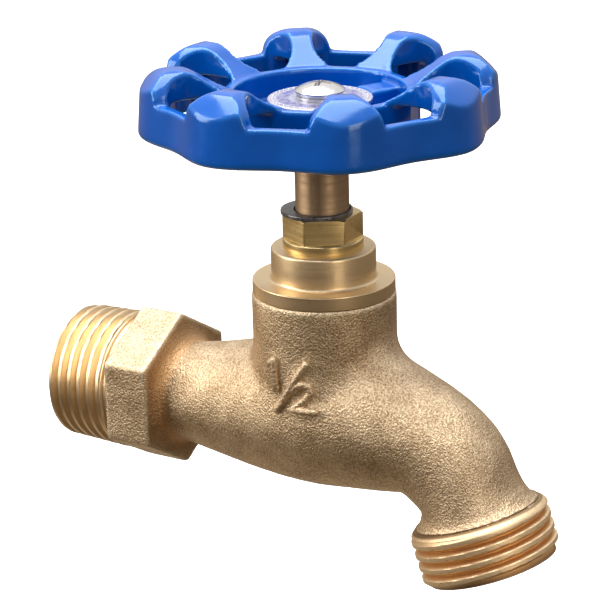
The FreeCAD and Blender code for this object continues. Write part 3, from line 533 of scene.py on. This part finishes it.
def outlet_thread_brass(finish):
    """Cream crests and an orange brown film in the grooves, by distance from the outlet's axis."""
    g = Graph("outlet_thread_brass")
    lean = math.atan2(OUTLET_WAY.x, -OUTLET_WAY.z)
    start = -(Matrix.Rotation(lean, 3, "Y") @ OUTLET_END)
    local = g.mapped((1.0, 1.0, 1.0), start, (0.0, lean, 0.0))
    along = g.split(local)[2]
    ripple = g.add(g.remap(g.noise(0.0012, detail=4.0), 0.3, 0.7, -0.00016, 0.00016), g.radius(local))
    groove = g.remap(ripple, *FILM_RADII)
    band = g.remap(along, *FILM_TOP)
    groove = g.times(groove, g.less(1.0, band))
    drawn_out = g.mapped((1.0, 1.0, 3.0), start, (0.0, lean, 0.0))
    speck = g.remap(g.noise(0.0011, detail=4.0, rough=0.75, where=drawn_out), 0.55, 0.68)
    crest = g.tint(CREST_CREAM, SPECK_BROWN, speck, share=0.6)
    brass = g.mix(groove, crest, finish.groove_brown)
    brass = g.tint(brass, END_BROWN, g.remap(along, *END_SHADOW), share=0.7)
    brass = g.tint(brass, COLLAR_BROWN, g.remap(along, *COLLAR_LINE), share=0.8)
    rough = g.remap(groove, 0.0, 1.0, 0.5, 0.6)
    wear = g.noise(0.0005, detail=3.0, rough=0.6, where=drawn_out)
    return g.surface(brass, rough, g.bump(wear, distance=0.00005, strength=0.6))


def gloss_enamel(finish):
    """Thick gloss paint over cast metal: soft orange peel and paler blue on convex edges."""
    g = Graph("gloss_enamel")
    peel = g.noise(0.0022, detail=2.0, rough=0.4)
    edge = g.remap(g.attribute("bulge"), 0.15, 0.6)
    deep = [part * 0.85 for part in finish.enamel]
    paint = g.mix(g.remap(g.noise(0.006), 0.35, 0.65), deep, finish.enamel)
    paint = g.tint(paint, ENAMEL_EDGE, edge, share=0.3)
    rough = g.remap(g.noise(0.003, detail=4.0), 0.35, 0.65, 0.11, 0.2)
    material = g.surface(paint, rough, g.bump(peel, distance=0.00005, strength=0.4), metallic=0.0)
    g.shader.inputs["IOR"].default_value = 1.62
    g.shader.inputs["Specular Tint"].default_value = (0.55, 0.85, 1.0, 1.0)
    g.shader.inputs["Coat Weight"].default_value = 0.25
    g.shader.inputs["Coat Roughness"].default_value = 0.08
    return material


def ringed_plate():
    """A satin plate with a plain violet ring, worn through in places."""
    g = Graph("plate_print")
    radius = g.radius(g.mapped(move=(-STEM.x, -STEM.y, 0.0)))
    inner = g.remap(radius, *PRINT_INNER)
    outer = g.remap(radius, *PRINT_OUTER)
    ring = g.times(inner, g.less(1.0, outer))
    wear = g.remap(g.noise(0.0008, detail=4.0, rough=0.7), 0.40, 0.58)
    tint = g.mix(wear, WORN_PRINT, PRINT_VIOLET)
    plate = g.mix(ring, g.tint(PLATE, PRINT_HAZE, wear, share=0.3), tint)
    rough = g.remap(g.noise(0.0006), 0.3, 0.7, 0.28, 0.45)
    satin = g.bump(g.noise(0.0004), distance=0.00002, strength=0.5)
    return g.surface(plate, rough, satin, metallic=0.85)


def matt(name, light, dark, size, rough=(0.6, 0.85), metallic=0.0, depth=0.00003):
    """A plain dull material with a fine mottle, for rubber, fibre, packing and blackened steel."""
    g = Graph(name)
    mottle = g.noise(size, detail=4.0, rough=0.6)
    base = g.mix(g.remap(mottle, 0.3, 0.7), dark, light)
    dull = g.remap(mottle, 0.3, 0.7, *rough)
    return g.surface(base, dull, g.bump(mottle, depth, strength=0.6), metallic)


# Mesh helpers

def placed(name, data):
    """A new object in the scene for a mesh, light or camera."""
    piece = bpy.data.objects.new(name, data)
    bpy.context.scene.collection.objects.link(piece)
    return piece


def made(name, points, faces=()):
    """A new piece from points and faces."""
    mesh = bpy.data.meshes.new(name)
    mesh.from_pydata(points, [], faces)
    return placed(name, mesh)


@contextlib.contextmanager
def opened(mesh):
    """A mesh opened for editing, and written back after it."""
    work = bmesh.new()
    work.from_mesh(mesh)
    yield work
    work.to_mesh(mesh)
    work.free()


def cad_copy(node, name):
    """A copy of a frame node's mesh with its loose triangles merged."""
    mesh = frame["nodes"][node].data.copy()
    mesh.name = name
    mesh.materials.clear()
    with opened(mesh) as work:
        bmesh.ops.remove_doubles(work, verts=work.verts, dist=1e-6)
    return placed(name, mesh)


def cut_away(piece, point, normal):
    """Removes the part of a closed mesh on the normal's side of a plane and closes the cut."""
    with opened(piece.data) as work:
        geometry = work.verts[:] + work.edges[:] + work.faces[:]
        cut = bmesh.ops.bisect_plane(
            work, geom=geometry, dist=1e-7, plane_co=point, plane_no=normal, clear_outer=True)
        edges = [e for e in cut["geom_cut"] if isinstance(e, bmesh.types.BMEdge)]
        bmesh.ops.triangle_fill(work, edges=edges, use_beauty=True, normal=normal)
        bmesh.ops.recalc_face_normals(work, faces=work.faces)


def lathe(name, outline, steps):
    """A closed mesh turned about the upright axis from a closed outline of radius and height."""
    rows = len(outline)
    verts = []
    for k in range(steps):
        turn = 2 * math.pi * k / steps
        verts += [(radius * math.cos(turn), radius * math.sin(turn), z) for radius, z in outline]
    faces = []
    for k in range(steps):
        here = k * rows
        there = (k + 1) % steps * rows
        for n in range(rows):
            m = (n + 1) % rows
            faces.append((here + n, there + n, there + m, here + m))
    turned = made(name, verts, faces)
    with opened(turned.data) as work:
        bmesh.ops.recalc_face_normals(work, faces=work.faces)
    return turned


def rows_between(low, high, step):
    """Heights from low to high at about the given step, both ends included."""
    count = max(1, round((high - low) / step))
    return [low + (high - low) * k / count for k in range(count + 1)]


def settled(piece):
    """Turns a piece and its modifiers into a plain mesh."""
    graph = bpy.context.evaluated_depsgraph_get()
    mesh = bpy.data.meshes.new_from_object(piece.evaluated_get(graph), depsgraph=graph)
    piece.modifiers.clear()
    old = piece.data
    piece.data = mesh
    mesh.name = piece.name
    bpy.data.meshes.remove(old)


def soften(piece, name, rounds, group=""):
    """Adds rounds of smoothing, over the whole piece or a group of its points."""
    smooth = piece.modifiers.new(name, "SMOOTH")
    smooth.iterations = rounds
    smooth.factor = 0.5
    smooth.vertex_group = group


def remeshed(piece, cell, rounds):
    """Closes a piece into one even skin and softens its edges."""
    remesh = piece.modifiers.new("even skin", "REMESH")
    remesh.mode = "VOXEL"
    remesh.voxel_size = cell
    remesh.use_smooth_shade = True
    soften(piece, "soft edges", rounds)
    settled(piece)


def store_bulge(piece, reach):
    """Stores how far each point stands out of its neighbours, from -1 in hollows to 1 on edges."""
    work = bmesh.new()
    work.from_mesh(piece.data)
    work.verts.ensure_lookup_table()
    values = []
    for vert in work.verts:
        around = [e.other_vert(vert).co for e in vert.link_edges]
        middle = sum(around, Vector()) / max(len(around), 1)
        values.append((vert.co - middle).dot(vert.normal))
    for _round in range(BULGE_ROUNDS):
        values = [(values[v.index] + sum(values[e.other_vert(v).index] for e in v.link_edges))
                  / (1 + len(v.link_edges)) for v in work.verts]
    work.free()
    store = piece.data.attributes.new("bulge", "FLOAT", "POINT")
    store.data.foreach_set("value", [max(-1.0, min(1.0, v / reach)) for v in values])


def crisp(piece, bevel):
    """Breaks the sharp edges of a turned or milled piece and shades it smooth between them."""
    with opened(piece.data) as work:
        bmesh.ops.dissolve_limit(work, angle_limit=FLAT_WITHIN, verts=work.verts, edges=work.edges)
    edge = piece.modifiers.new("broken edges", "BEVEL")
    edge.width = bevel
    edge.segments = 2
    edge.limit_method = "ANGLE"
    edge.angle_limit = BEVEL_FROM
    settled(piece)
    piece.data.shade_smooth()
    piece.data.set_sharp_from_angle(angle=SHARP_FROM)


def keep(piece, body, slot, material, *nodes):
    """Hands a finished piece to its body, with the frame nodes that it stands for."""
    piece.data.materials.clear()
    piece.data.materials.append(material)
    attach(piece, body)
    if nodes:
        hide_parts(*nodes)


def machined(node, name, body, slot, material, bevel):
    """A crisp copy of a frame node in its place, with its own finish."""
    piece = cad_copy(node, name)
    crisp(piece, bevel)
    keep(piece, body, slot, material, node)


# Geometry Nodes helpers

class Shaper(Nodes):
    """A geometry node tree with a geometry input, named inputs of each kind and a material input."""

    def __init__(self, name, **kinds):
        super().__init__(bpy.data.node_groups.new(name, "GeometryNodeTree"))
        self.socket("Geometry", "Geometry")
        for kind, labels in kinds.items():
            for label in labels:
                self.socket(label, kind)
        self.socket("Material", "Material")
        self.socket("Geometry", "Geometry", "OUTPUT")
        self.source = self.node("NodeGroupInput").outputs
        self.target = self.node("NodeGroupOutput").inputs

    def socket(self, label, kind, way="INPUT"):
        """Adds an input or output to the tree."""
        self.tree.interface.new_socket(label, in_out=way, socket_type="NodeSocket" + kind)

    def joined(self, *parts):
        """Several geometries as one."""
        both = self.node("GeometryNodeJoinGeometry")
        for part in parts:
            self.feed(both.inputs[0], part)
        return both.outputs[0]

    def closed(self, geometry):
        """Ends the tree in real geometry with its material, and returns the tree."""
        real = self.node("GeometryNodeRealizeInstances", Geometry=geometry).outputs[0]
        finish = self.node("GeometryNodeSetMaterial", Geometry=real, Material=self.source["Material"])
        self.feed(self.target["Geometry"], finish.outputs[0])
        return self.tree


def use_tree(piece, tree, values):
    """Runs a tree on a piece, with its named inputs set by their identifiers, into a plain mesh."""
    modifier = piece.modifiers.new(tree.name, "NODES")
    modifier.node_group = tree
    for item in tree.interface.items_tree:
        if item.in_out == "INPUT" and item.name in values:
            modifier[item.identifier] = values[item.name]
    settled(piece)


def helical_groove_tree(name, kind):
    """Cuts a right-handed helical groove round the upright axis into a turned end."""
    t = Shaper(name, Float=(
        "Pitch", "Depth", "Root flat", "Flank slope", "Crest radius", "Taper", "Run out"))
    pitch, depth, run_out = t.source["Pitch"], t.source["Depth"], t.source["Run out"]
    x, y, z = t.split(t.node("GeometryNodeInputPosition").outputs[0])
    turns = t.over(t.maths("ARCTAN2", y, x), 2 * math.pi)
    phase = t.less(t.over(z, pitch), turns)
    offset = t.less(t.maths("FRACT", t.add(phase, 0.5)), 0.5)
    from_groove = t.times(t.maths("ABSOLUTE", offset), pitch)
    half_root = t.times(t.source["Root flat"], 0.5)
    half_top = t.add(half_root, t.times(depth, t.source["Flank slope"]))
    cut = t.remap(from_groove, half_root, half_top, depth, 0.0, kind)
    start_fade = t.less(run_out, t.times(pitch, THREAD_FADE))
    cut = t.times(cut, t.remap(z, start_fade, run_out, 1.0, 0.0))
    crest = t.add(t.source["Crest radius"], t.times(z, t.source["Taper"]))
    radius = t.maths("SQRT", t.add(t.times(x, x), t.times(y, y)))
    wall = t.maths("MINIMUM", radius, t.less(crest, cut))
    scale = t.over(wall, radius)
    moved = t.node("ShaderNodeCombineXYZ", X=t.times(x, scale), Y=t.times(y, scale), Z=z).outputs[0]
    shift = t.node("GeometryNodeSetPosition", Geometry=t.source["Geometry"], Position=moved)
    return t.closed(shift.outputs[0])


def repeat_round_tree():
    """Copies of one sector at even steps round an upright axis, joined to the piece in the middle."""
    t = Shaper("sectors_round_hub", Object=["Sector"], Int=["Copies"], Vector=["Axis"])
    points = t.node("GeometryNodePoints", Count=t.source["Copies"], Position=t.source["Axis"])
    step = t.over(2 * math.pi, t.source["Copies"])
    index = t.node("GeometryNodeInputIndex").outputs[0]
    turn = t.node("ShaderNodeCombineXYZ", Z=t.times(index, step))
    sector = t.node("GeometryNodeObjectInfo", Object=t.source["Sector"])
    sector.transform_space = "ORIGINAL"
    copies = t.node("GeometryNodeInstanceOnPoints", Points=points.outputs[0],
                    Instance=sector.outputs["Geometry"], Rotation=turn.outputs[0])
    real = t.node("GeometryNodeRealizeInstances", Geometry=copies.outputs[0])
    return t.closed(t.joined(real.outputs[0], t.source["Geometry"]))


def uneven_skin_tree():
    """Swells and dips a cast skin by smooth noise with a fixed seed."""
    t = Shaper("uneven_cast_skin", Float=("Height", "Size", "Seed"))
    place = t.node("GeometryNodeInputPosition").outputs[0]
    noise = t.node("ShaderNodeTexNoise", Detail=3.0, Roughness=0.6, Scale=t.over(1.0, t.source["Size"]),
                   Vector=place)
    noise.noise_dimensions = "4D"
    t.feed(noise.inputs["W"], t.source["Seed"])
    height = t.times(t.less(noise.outputs["Fac"], 0.5), t.source["Height"])
    move = t.node("ShaderNodeVectorMath")
    move.operation = "SCALE"
    t.feed(move.inputs[0], t.node("GeometryNodeInputNormal").outputs[0])
    t.feed(move.inputs["Scale"], height)
    shift = t.node("GeometryNodeSetPosition", Geometry=t.source["Geometry"], Offset=move.outputs[0])
    return t.closed(shift.outputs[0])


def beads_tree():
    """A ball on each point of a mesh, so that rows of points grow into rounded strokes."""
    t = Shaper("beads_on_strokes", Float=["Bead radius"])
    ball = t.node("GeometryNodeMeshIcoSphere", Radius=t.source["Bead radius"], Subdivisions=3)
    beads = t.node("GeometryNodeInstanceOnPoints", Points=t.source["Geometry"],
                   Instance=ball.outputs["Mesh"])
    return t.closed(beads.outputs[0])


def dots_round_tree():
    """Small raised dots at even steps round a plate, joined to the plate."""
    t = Shaper("dots_round_plate", Int=["Dots"], Float=("Ring radius", "Dot radius"), Vector=["Centre"])
    ring = t.node("GeometryNodeCurvePrimitiveCircle", Radius=t.source["Ring radius"], Resolution=64)
    points = t.node("GeometryNodeCurveToPoints", Curve=ring.outputs["Curve"], Count=t.source["Dots"])
    dot = t.node("GeometryNodeMeshUVSphere", Segments=10, Rings=6, Radius=t.source["Dot radius"])
    copies = t.node("GeometryNodeInstanceOnPoints", Points=points.outputs["Points"],
                    Instance=dot.outputs["Mesh"])
    lifted = t.node("GeometryNodeTransform", Geometry=copies.outputs[0], Translation=t.source["Centre"])
    return t.closed(t.joined(lifted.outputs[0], t.source["Geometry"]))


# Pieces

class TAP_OT_cast_body(bpy.types.Operator):
    """The sand-cast belly, spout, neck and hexagon"""
    bl_idname = "tap.cast_body"
    bl_label = "Cast body"

    def execute(self, context):
        shape = context.scene.tap_shape
        body = cad_copy("body_casting", "cast_body")
        cut_away(body, (shape.hex_start, 0.0, 0.0), (-1.0, 0.0, 0.0))
        cut_away(body, OUTLET_END - OUTLET_WAY * shape.collar_above_end, OUTLET_WAY)
        remeshed(body, shape.cast_voxel, CAST_ROUNDS)
        hex_end = shape.hex_back + PAST_HEXAGON
        self.soften_part(body, "hexagon", lambda place: place.x < hex_end, shape.edge_rounds)
        self.soften_part(body, "under_mark", self.under_mark, shape.mark_rounds)
        skin = cast_skin(context.scene.tap_finish, shape.hex_back)
        use_tree(body, uneven_skin_tree(), {
            "Height": shape.cast_wave * 2.0, "Size": CAST_WAVE_SIZE, "Seed": CAST_SEED, "Material": skin})
        store_bulge(body, SKIN_BULGE)
        mark = self.size_mark(body, shape, skin)
        keep(body, "tap_body", "cast_brass", skin, "body_casting")
        keep(mark, "tap_body", "cast_brass", skin)
        return {"FINISHED"}

    def under_mark(self, place):
        """Whether a point lies on the patch of the belly's front where the size mark stands."""
        left, right = PATCH_SIDES
        low, high = PATCH_HEIGHTS
        return left < place.x - STEM.x < right and place.y < PATCH_FRONT and low < place.z < high

    def soften_part(self, body, name, chosen, rounds):
        """Rounds a chosen part of the cast skin more than the rest."""
        group = body.vertex_groups.new(name=name)
        group.add([v.index for v in body.data.vertices if chosen(v.co)], 1.0, "REPLACE")
        soften(body, name, rounds, group.name)
        settled(body)
        body.vertex_groups.clear()

    def size_mark(self, body, shape, skin):
        """The raised strokes of the size mark, laid on the skin at the belly's front."""
        work = bmesh.new()
        work.from_mesh(body.data)
        surface = BVHTree.FromBMesh(work)
        work.free()
        points = []
        for x0, z0, x1, z1 in MARK_STROKES:
            start = Vector((STEM.x + x0 * MM, 0.0, z0 * MM))
            way = Vector((x1 - x0, 0.0, z1 - z0)) * MM
            for k in range(MARK_STEPS + 1):
                skin_point = surface.ray_cast(start + way * k / MARK_STEPS - RAY_RUN_UP, RAY_WAY)[0]
                points.append(skin_point - RAY_WAY * shape.mark_rise)
        mark = made("size_mark_strokes", points)
        use_tree(mark, beads_tree(), {"Bead radius": shape.mark_bead, "Material": skin})
        remeshed(mark, MARK_CELL, MARK_ROUNDS)
        store_bulge(mark, MARK_BULGE)
        return mark


class TAP_OT_thread_ends(bpy.types.Operator):
    """The threaded inlet end and the threaded spout end of the casting"""
    bl_idname = "tap.thread_ends"
    bl_label = "Threaded ends"

    def execute(self, context):
        shape = context.scene.tap_shape
        threads = context.scene.tap_threads
        finish = context.scene.tap_finish
        bright = turned_metal("inlet_thread_brass", INLET_BRASS, BROWN_STAIN, ACROSS_X, (0.32, 0.44))
        keep(self.inlet_end(shape, threads, bright), "tap_body", "machined_brass", bright)
        worn = outlet_thread_brass(finish)
        keep(self.outlet_end(shape, threads, worn), "tap_body", "machined_brass", worn)
        return {"FINISHED"}

    def mouth(self, bore, top, edge, threads, crest, lead):
        """The outline from the bore's inner end round the free end to the thread's first crest."""
        return [(bore, top), (bore, edge), (bore + edge, 0.0), (crest - threads.depth, 0.0),
                (crest - lead, 0.0)]

    def inlet_end(self, shape, threads, material):
        """The tapered thread and its relief, from the free end into the hexagon's face."""
        back = shape.hex_start + INTO_CASTING
        crest = threads.inlet_radius
        outline = self.mouth(INLET_BORE, back, INLET_EDGE, threads, crest, threads.inlet_lead)
        for z in rows_between(threads.inlet_lead, threads.inlet_length, threads.row_height):
            outline.append((crest + z * threads.inlet_taper, z))
        relief = crest + threads.inlet_length * threads.inlet_taper - threads.inlet_relief
        for z in rows_between(threads.inlet_length + INLET_EDGE, back, threads.row_height):
            outline.append((relief, z))
        end = lathe("inlet_thread_end", outline, threads.steps)
        self.cut_thread(end, threads, "inlet_thread", "LINEAR", crest, threads.inlet_taper,
                        threads.inlet_length, material)
        end.data.transform(Matrix.Rotation(math.pi / 2, 4, "Y"))
        return end

    def outlet_end(self, shape, threads, material):
        """The parallel thread with worn crests and the turned band above it, up into the collar."""
        top = shape.collar_above_end
        thread_top = top - threads.shoulder
        crest = threads.outlet_radius
        collar = threads.collar_radius
        outline = self.mouth(OUTLET_BORE, top + OUTLET_EDGE, OUTLET_EDGE, threads, crest,
                             threads.outlet_lead)
        for z in rows_between(threads.outlet_lead, thread_top, threads.row_height):
            outline.append((crest, z))
        for z in rows_between(thread_top + threads.row_height, top, threads.row_height):
            up = (z - thread_top) / threads.shoulder
            outline.append((crest + (collar - crest) * up ** SHOULDER_CURVE, z))
        outline.append((collar - OUTLET_EDGE, top + OUTLET_EDGE / 3))
        outline.append((collar - OUTLET_EDGE, top + OUTLET_EDGE))
        end = lathe("outlet_thread_end", outline, threads.steps)
        self.cut_thread(end, threads, "outlet_thread", "SMOOTHSTEP", crest, 0.0,
                        thread_top + threads.pitch / 3, material)
        turn = Matrix.Rotation(threads.outlet_turn, 4, OUTLET_WAY)
        upright = UP.rotation_difference(-OUTLET_WAY).to_matrix().to_4x4()
        end.data.transform(Matrix.Translation(OUTLET_END) @ turn @ upright)
        return end

    def cut_thread(self, end, threads, name, kind, radius, taper, run_out, material):
        """Cuts the helical groove into a turned end that stands at the origin."""
        use_tree(end, helical_groove_tree(name, kind), {
            "Pitch": threads.pitch, "Depth": threads.depth, "Root flat": threads.root_flat,
            "Flank slope": math.tan(threads.flank), "Crest radius": radius, "Taper": taper,
            "Run out": run_out, "Material": material})
        end.data.shade_smooth()
        end.data.set_sharp_from_angle(angle=THREAD_SHARP_FROM)


class TAP_OT_bonnet(bpy.types.Operator):
    """The turned bonnet, the packing nut on it and the nut's dark washer"""
    bl_idname = "tap.bonnet"
    bl_label = "Bonnet and packing nut"

    def execute(self, context):
        bevel = context.scene.tap_shape.machined_bevel
        brass = turned_metal("turned_bonnet_brass", context.scene.tap_finish.turned_brass, BROWN_STAIN,
                             ACROSS_Z, (0.34, 0.46))
        machined("bonnet", "turned_bonnet", "tap_body", "machined_brass", brass, bevel)
        gold = turned_metal("milled_nut_brass", NUT_BRASS, NUT_STAIN, ACROSS_Z, (0.24, 0.38))
        machined("packing_nut", "milled_packing_nut", "tap_body", "nut_brass", gold, bevel)
        dark = matt("blackened_steel", WASHER_BLACK, WASHER_MOTTLE, 0.0007, (0.26, 0.42),
                    metallic=0.8, depth=0.000015)
        machined("nut_washer", "dark_nut_washer", "tap_body", "dark_washer", dark, bevel)
        return {"FINISHED"}


class TAP_OT_stem(bpy.types.Operator):
    """The browned brass stem"""
    bl_idname = "tap.stem"
    bl_label = "Stem"

    def execute(self, context):
        brass = turned_metal("browned_stem_brass", context.scene.tap_finish.stem_brass, STEM_STAIN,
                             ACROSS_Z, (0.42, 0.56), stain=0.5)
        machined("stem", "browned_stem", "spindle", "stem_brass", brass,
                 context.scene.tap_shape.machined_bevel)
        return {"FINISHED"}


class TAP_OT_handwheel(bpy.types.Operator):
    """The enamelled handwheel: one grip sector repeated round the hub and closed into one skin"""
    bl_idname = "tap.handwheel"
    bl_label = "Handwheel"

    def execute(self, context):
        shape = context.scene.tap_shape
        enamel = gloss_enamel(context.scene.tap_finish)
        sector = self.sector(shape)
        wheel = self.hub(shape)
        use_tree(wheel, repeat_round_tree(), {
            "Sector": sector, "Copies": shape.humps, "Axis": (STEM.x, STEM.y, 0.0), "Material": enamel})
        bpy.data.objects.remove(sector)
        remeshed(wheel, shape.wheel_voxel, WHEEL_ROUNDS)
        store_bulge(wheel, SKIN_BULGE)
        keep(wheel, "spindle", "blue_enamel", enamel, "handwheel")
        return {"FINISHED"}

    def sector(self, shape):
        """One grip with its share of rim and ring, about the stem's axis at the origin."""
        sector = cad_copy("handwheel", "grip_sector")
        sector.data.transform(Matrix.Translation((-STEM.x, -STEM.y, 0.0)))
        reach = math.asin(shape.overlap / shape.hub_radius / 2)
        half = math.pi / shape.humps + reach
        for side in (-1, 1):
            edge = shape.hump_angle + side * half
            cut_away(sector, (0.0, 0.0, 0.0), (-side * math.sin(edge), side * math.cos(edge), 0.0))
        out = Vector((math.cos(shape.hump_angle), math.sin(shape.hump_angle), 0.0))
        cut_away(sector, out * (shape.hub_radius - shape.overlap), -out)
        return sector

    def hub(self, shape):
        """The middle of the wheel inside an even-sided outline."""
        hub = cad_copy("handwheel", "enamelled_handwheel")
        middle = Vector((STEM.x, STEM.y, 0.0))
        for k in range(shape.humps):
            turn = shape.hump_angle + 2 * math.pi * k / shape.humps
            out = Vector((math.cos(turn), math.sin(turn), 0.0))
            cut_away(hub, middle + out * shape.hub_radius, out)
        return hub


class TAP_OT_top_plate(bpy.types.Operator):
    """The plate on the wheel's hub, with a plain ring of dots"""
    bl_idname = "tap.top_plate"
    bl_label = "Top plate"

    def execute(self, context):
        printed = ringed_plate()
        plate = cad_copy("nameplate_disc", "ringed_top_plate")
        crisp(plate, context.scene.tap_shape.machined_bevel)
        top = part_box("nameplate_disc")[1].z
        use_tree(plate, dots_round_tree(), {
            "Dots": DOTS, "Ring radius": DOT_RING, "Dot radius": DOT_RADIUS,
            "Centre": (STEM.x, STEM.y, top), "Material": printed})
        keep(plate, "spindle", "plate_metal", printed, "nameplate_disc")
        return {"FINISHED"}


class TAP_OT_top_screw(bpy.types.Operator):
    """The nickelled screw and its two washers on the wheel"""
    bl_idname = "tap.top_screw"
    bl_label = "Screw and washers"

    def execute(self, context):
        bevel = context.scene.tap_shape.machined_bevel
        nickel = turned_metal("bright_nickel", NICKEL, NICKEL_STAIN, ACROSS_Z, (0.14, 0.26), 0.3)
        zinc = turned_metal("bright_zinc", ZINC, GREY_STAIN, ACROSS_Z, (0.24, 0.4), 0.3)
        machined("handwheel_screw", "cross_head_screw", "spindle", "nickel_screw", nickel,
                 bevel * SCREW_EDGE)
        machined("flat_washer", "plain_washer", "spindle", "zinc_steel", zinc, bevel * WASHER_EDGE)
        machined("lock_washer", "split_washer", "spindle", "zinc_steel", zinc, bevel * WASHER_EDGE)
        return {"FINISHED"}


class TAP_OT_inner_pieces(bpy.types.Operator):
    """The pieces inside the body and the gland"""
    bl_idname = "tap.inner_pieces"
    bl_label = "Inner pieces"

    def execute(self, context):
        finish = context.scene.tap_finish
        brass = turned_metal("inner_turned_brass", finish.turned_brass, BROWN_STAIN, ACROSS_Z)
        packing = matt("graphite_packing", *PACKING, size=0.0004)
        rubber = matt("seat_rubber", *RUBBER, size=0.0006)
        fibre = matt("red_fibre", *FIBRE, size=0.0005)
        steel = turned_metal("inner_zinc_steel", HIDDEN_STEEL, GREY_STAIN, ACROSS_Z)
        finishes = {
            "bonnet_gasket": fibre, "packing_bottom_washer": brass, "packing_ring_lower": packing,
            "packing_ring_upper": packing, "packing_follower": brass, "disc_holder": brass,
            "seat_washer": rubber, "seat_washer_screw": steel, "disc_holder_pin": steel,
        }
        for node, material in finishes.items():
            mesh = frame["nodes"][node].data
            mesh.materials.clear()
            mesh.materials.append(material)
        return {"FINISHED"}


# Stage

def area_light(name, place, size, power, tint):
    """A soft oblong light that looks at the tap's middle."""
    data = bpy.data.lights.new(name, "AREA")
    data.shape = "RECTANGLE"
    data.size, data.size_y = size
    data.energy = power
    data.color = tint
    light = placed(name, data)
    light.location = place
    light.rotation_euler = (Vector(LAMP_AIM) - Vector(place)).to_track_quat("-Z", "Y").to_euler()


class TAP_OT_stage(bpy.types.Operator):
    """The pale floor, the soft lights and the camera"""
    bl_idname = "tap.stage"
    bl_label = "Stage"

    def execute(self, context):
        stage = context.scene.tap_stage
        self.lay_floor(stage)
        self.light_room(stage)
        self.place_camera(context, stage)
        return {"FINISHED"}

    def lay_floor(self, stage):
        """A wide pale floor well below the tap, too far off to light it from beneath."""
        z = CAD_BOX[0][2] - stage.floor_drop
        corners = [(x * FLOOR_HALF, y * FLOOR_HALF, z) for x, y in ((-1, -1), (1, -1), (1, 1), (-1, 1))]
        floor = made("pale_floor", corners, [(0, 1, 2, 3)])
        g = Graph("pale_floor_paint")
        g.surface(FLOOR_GREY, FLOOR_ROUGHNESS, metallic=0.0)
        g.shader.inputs["Emission Color"].default_value = (1.0, 1.0, 1.0, 1.0)
        g.shader.inputs["Emission Strength"].default_value = FLOOR_GLOW
        floor.data.materials.append(g.material)
        floor.visible_glossy = False
        floor.visible_diffuse = False

    def light_room(self, stage):
        """A broad light above, softer ones beside the camera, and a room bright above and behind."""
        for lamp in LAMPS:
            area_light(*lamp)
        world = bpy.data.worlds.new("pale_room")
        world.use_nodes = True
        t = Nodes(world.node_tree)
        way = t.node("ShaderNodeTexCoord").outputs["Generated"]
        height = t.node("ShaderNodeValToRGB", Fac=t.remap(t.split(way)["Z"], -1.0, 1.0))
        ramp = height.color_ramp.elements
        for element, (place, tint) in zip(ramp, (ROOM_BANDS[0], ROOM_BANDS[-1])):
            element.position = place
            element.color = (*tint, 1.0)
        for place, tint in ROOM_BANDS[1:-1]:
            ramp.new(place).color = (*tint, 1.0)
        behind = t.node("ShaderNodeVectorMath")
        behind.operation = "DOT_PRODUCT"
        t.feed(behind.inputs[0], way)
        t.feed(behind.inputs[1], (-math.sin(stage.azimuth), math.cos(stage.azimuth), 0.0))
        background = t.tree.nodes["Background"].inputs
        t.feed(background["Color"], height.outputs["Color"])
        t.feed(background["Strength"], t.remap(behind.outputs["Value"], -1.0, 1.0, *ROOM_STRENGTH))
        bpy.context.scene.world = world
        bpy.context.scene.view_settings.view_transform = "Standard"

    def place_camera(self, context, stage):
        """A long lens at the photograph's angle."""
        a, e, r = stage.azimuth, stage.elevation, stage.roll
        back = Vector((math.sin(a) * math.cos(e), -math.cos(a) * math.cos(e), math.sin(e)))
        right = Vector((math.cos(a), math.sin(a), 0.0))
        up = back.cross(right)
        side = right * math.cos(r) + up * math.sin(r)
        top = up * math.cos(r) - right * math.sin(r)
        data = bpy.data.cameras.new("camera")
        data.sensor_width = SENSOR_WIDTH
        data.lens = stage.lens
        data.clip_start = CLIP_START
        camera = placed("camera", data)
        turn = Matrix((side, top, back)).transposed()
        camera.matrix_world = Matrix.Translation(Vector(stage.eye)) @ turn.to_4x4()
        context.scene.camera = camera


GROUPS = {"tap_shape": TapShape, "tap_threads": TapThreads, "tap_finish": TapFinish, "tap_stage": TapStage}
PIECES = (TAP_OT_cast_body, TAP_OT_thread_ends, TAP_OT_bonnet, TAP_OT_stem, TAP_OT_handwheel,
          TAP_OT_top_plate, TAP_OT_top_screw, TAP_OT_inner_pieces, TAP_OT_stage)


class TAP_PT_panel(bpy.types.Panel):
    """Lists the tap's pieces with their sizes and colours"""
    bl_idname = "TAP_PT_panel"
    bl_label = "Garden Tap"
    bl_space_type = "VIEW_3D"
    bl_region_type = "UI"
    bl_category = "Garden Tap"

    def draw(self, context):
        for pointer in GROUPS:
            group = getattr(context.scene, pointer)
            box = self.layout.box()
            for name in group.bl_rna.properties.keys():
                if name not in ("rna_type", "name"):
                    box.prop(group, name)
        for piece in PIECES:
            self.layout.operator(piece.bl_idname)


CLASSES = (*GROUPS.values(), *PIECES, TAP_PT_panel)


def register():
    """Registers the classes and puts the groups of sizes and colours on the scene."""
    for item in CLASSES:
        bpy.utils.register_class(item)
    for pointer, group in GROUPS.items():
        setattr(bpy.types.Scene, pointer, bpy.props.PointerProperty(type=group))


def unregister():
    """Takes everything that register added away again."""
    for pointer in GROUPS:
        delattr(bpy.types.Scene, pointer)
    for item in reversed(CLASSES):
        bpy.utils.unregister_class(item)


def main():
    """Makes the pieces and the stage in order."""
    register()
    bpy.ops.tap.cast_body()
    bpy.ops.tap.thread_ends()
    bpy.ops.tap.bonnet()
    bpy.ops.tap.stem()
    bpy.ops.tap.handwheel()
    bpy.ops.tap.top_plate()
    bpy.ops.tap.top_screw()
    bpy.ops.tap.inner_pieces()
    bpy.ops.tap.stage()


if __name__ == "__main__":
    main()
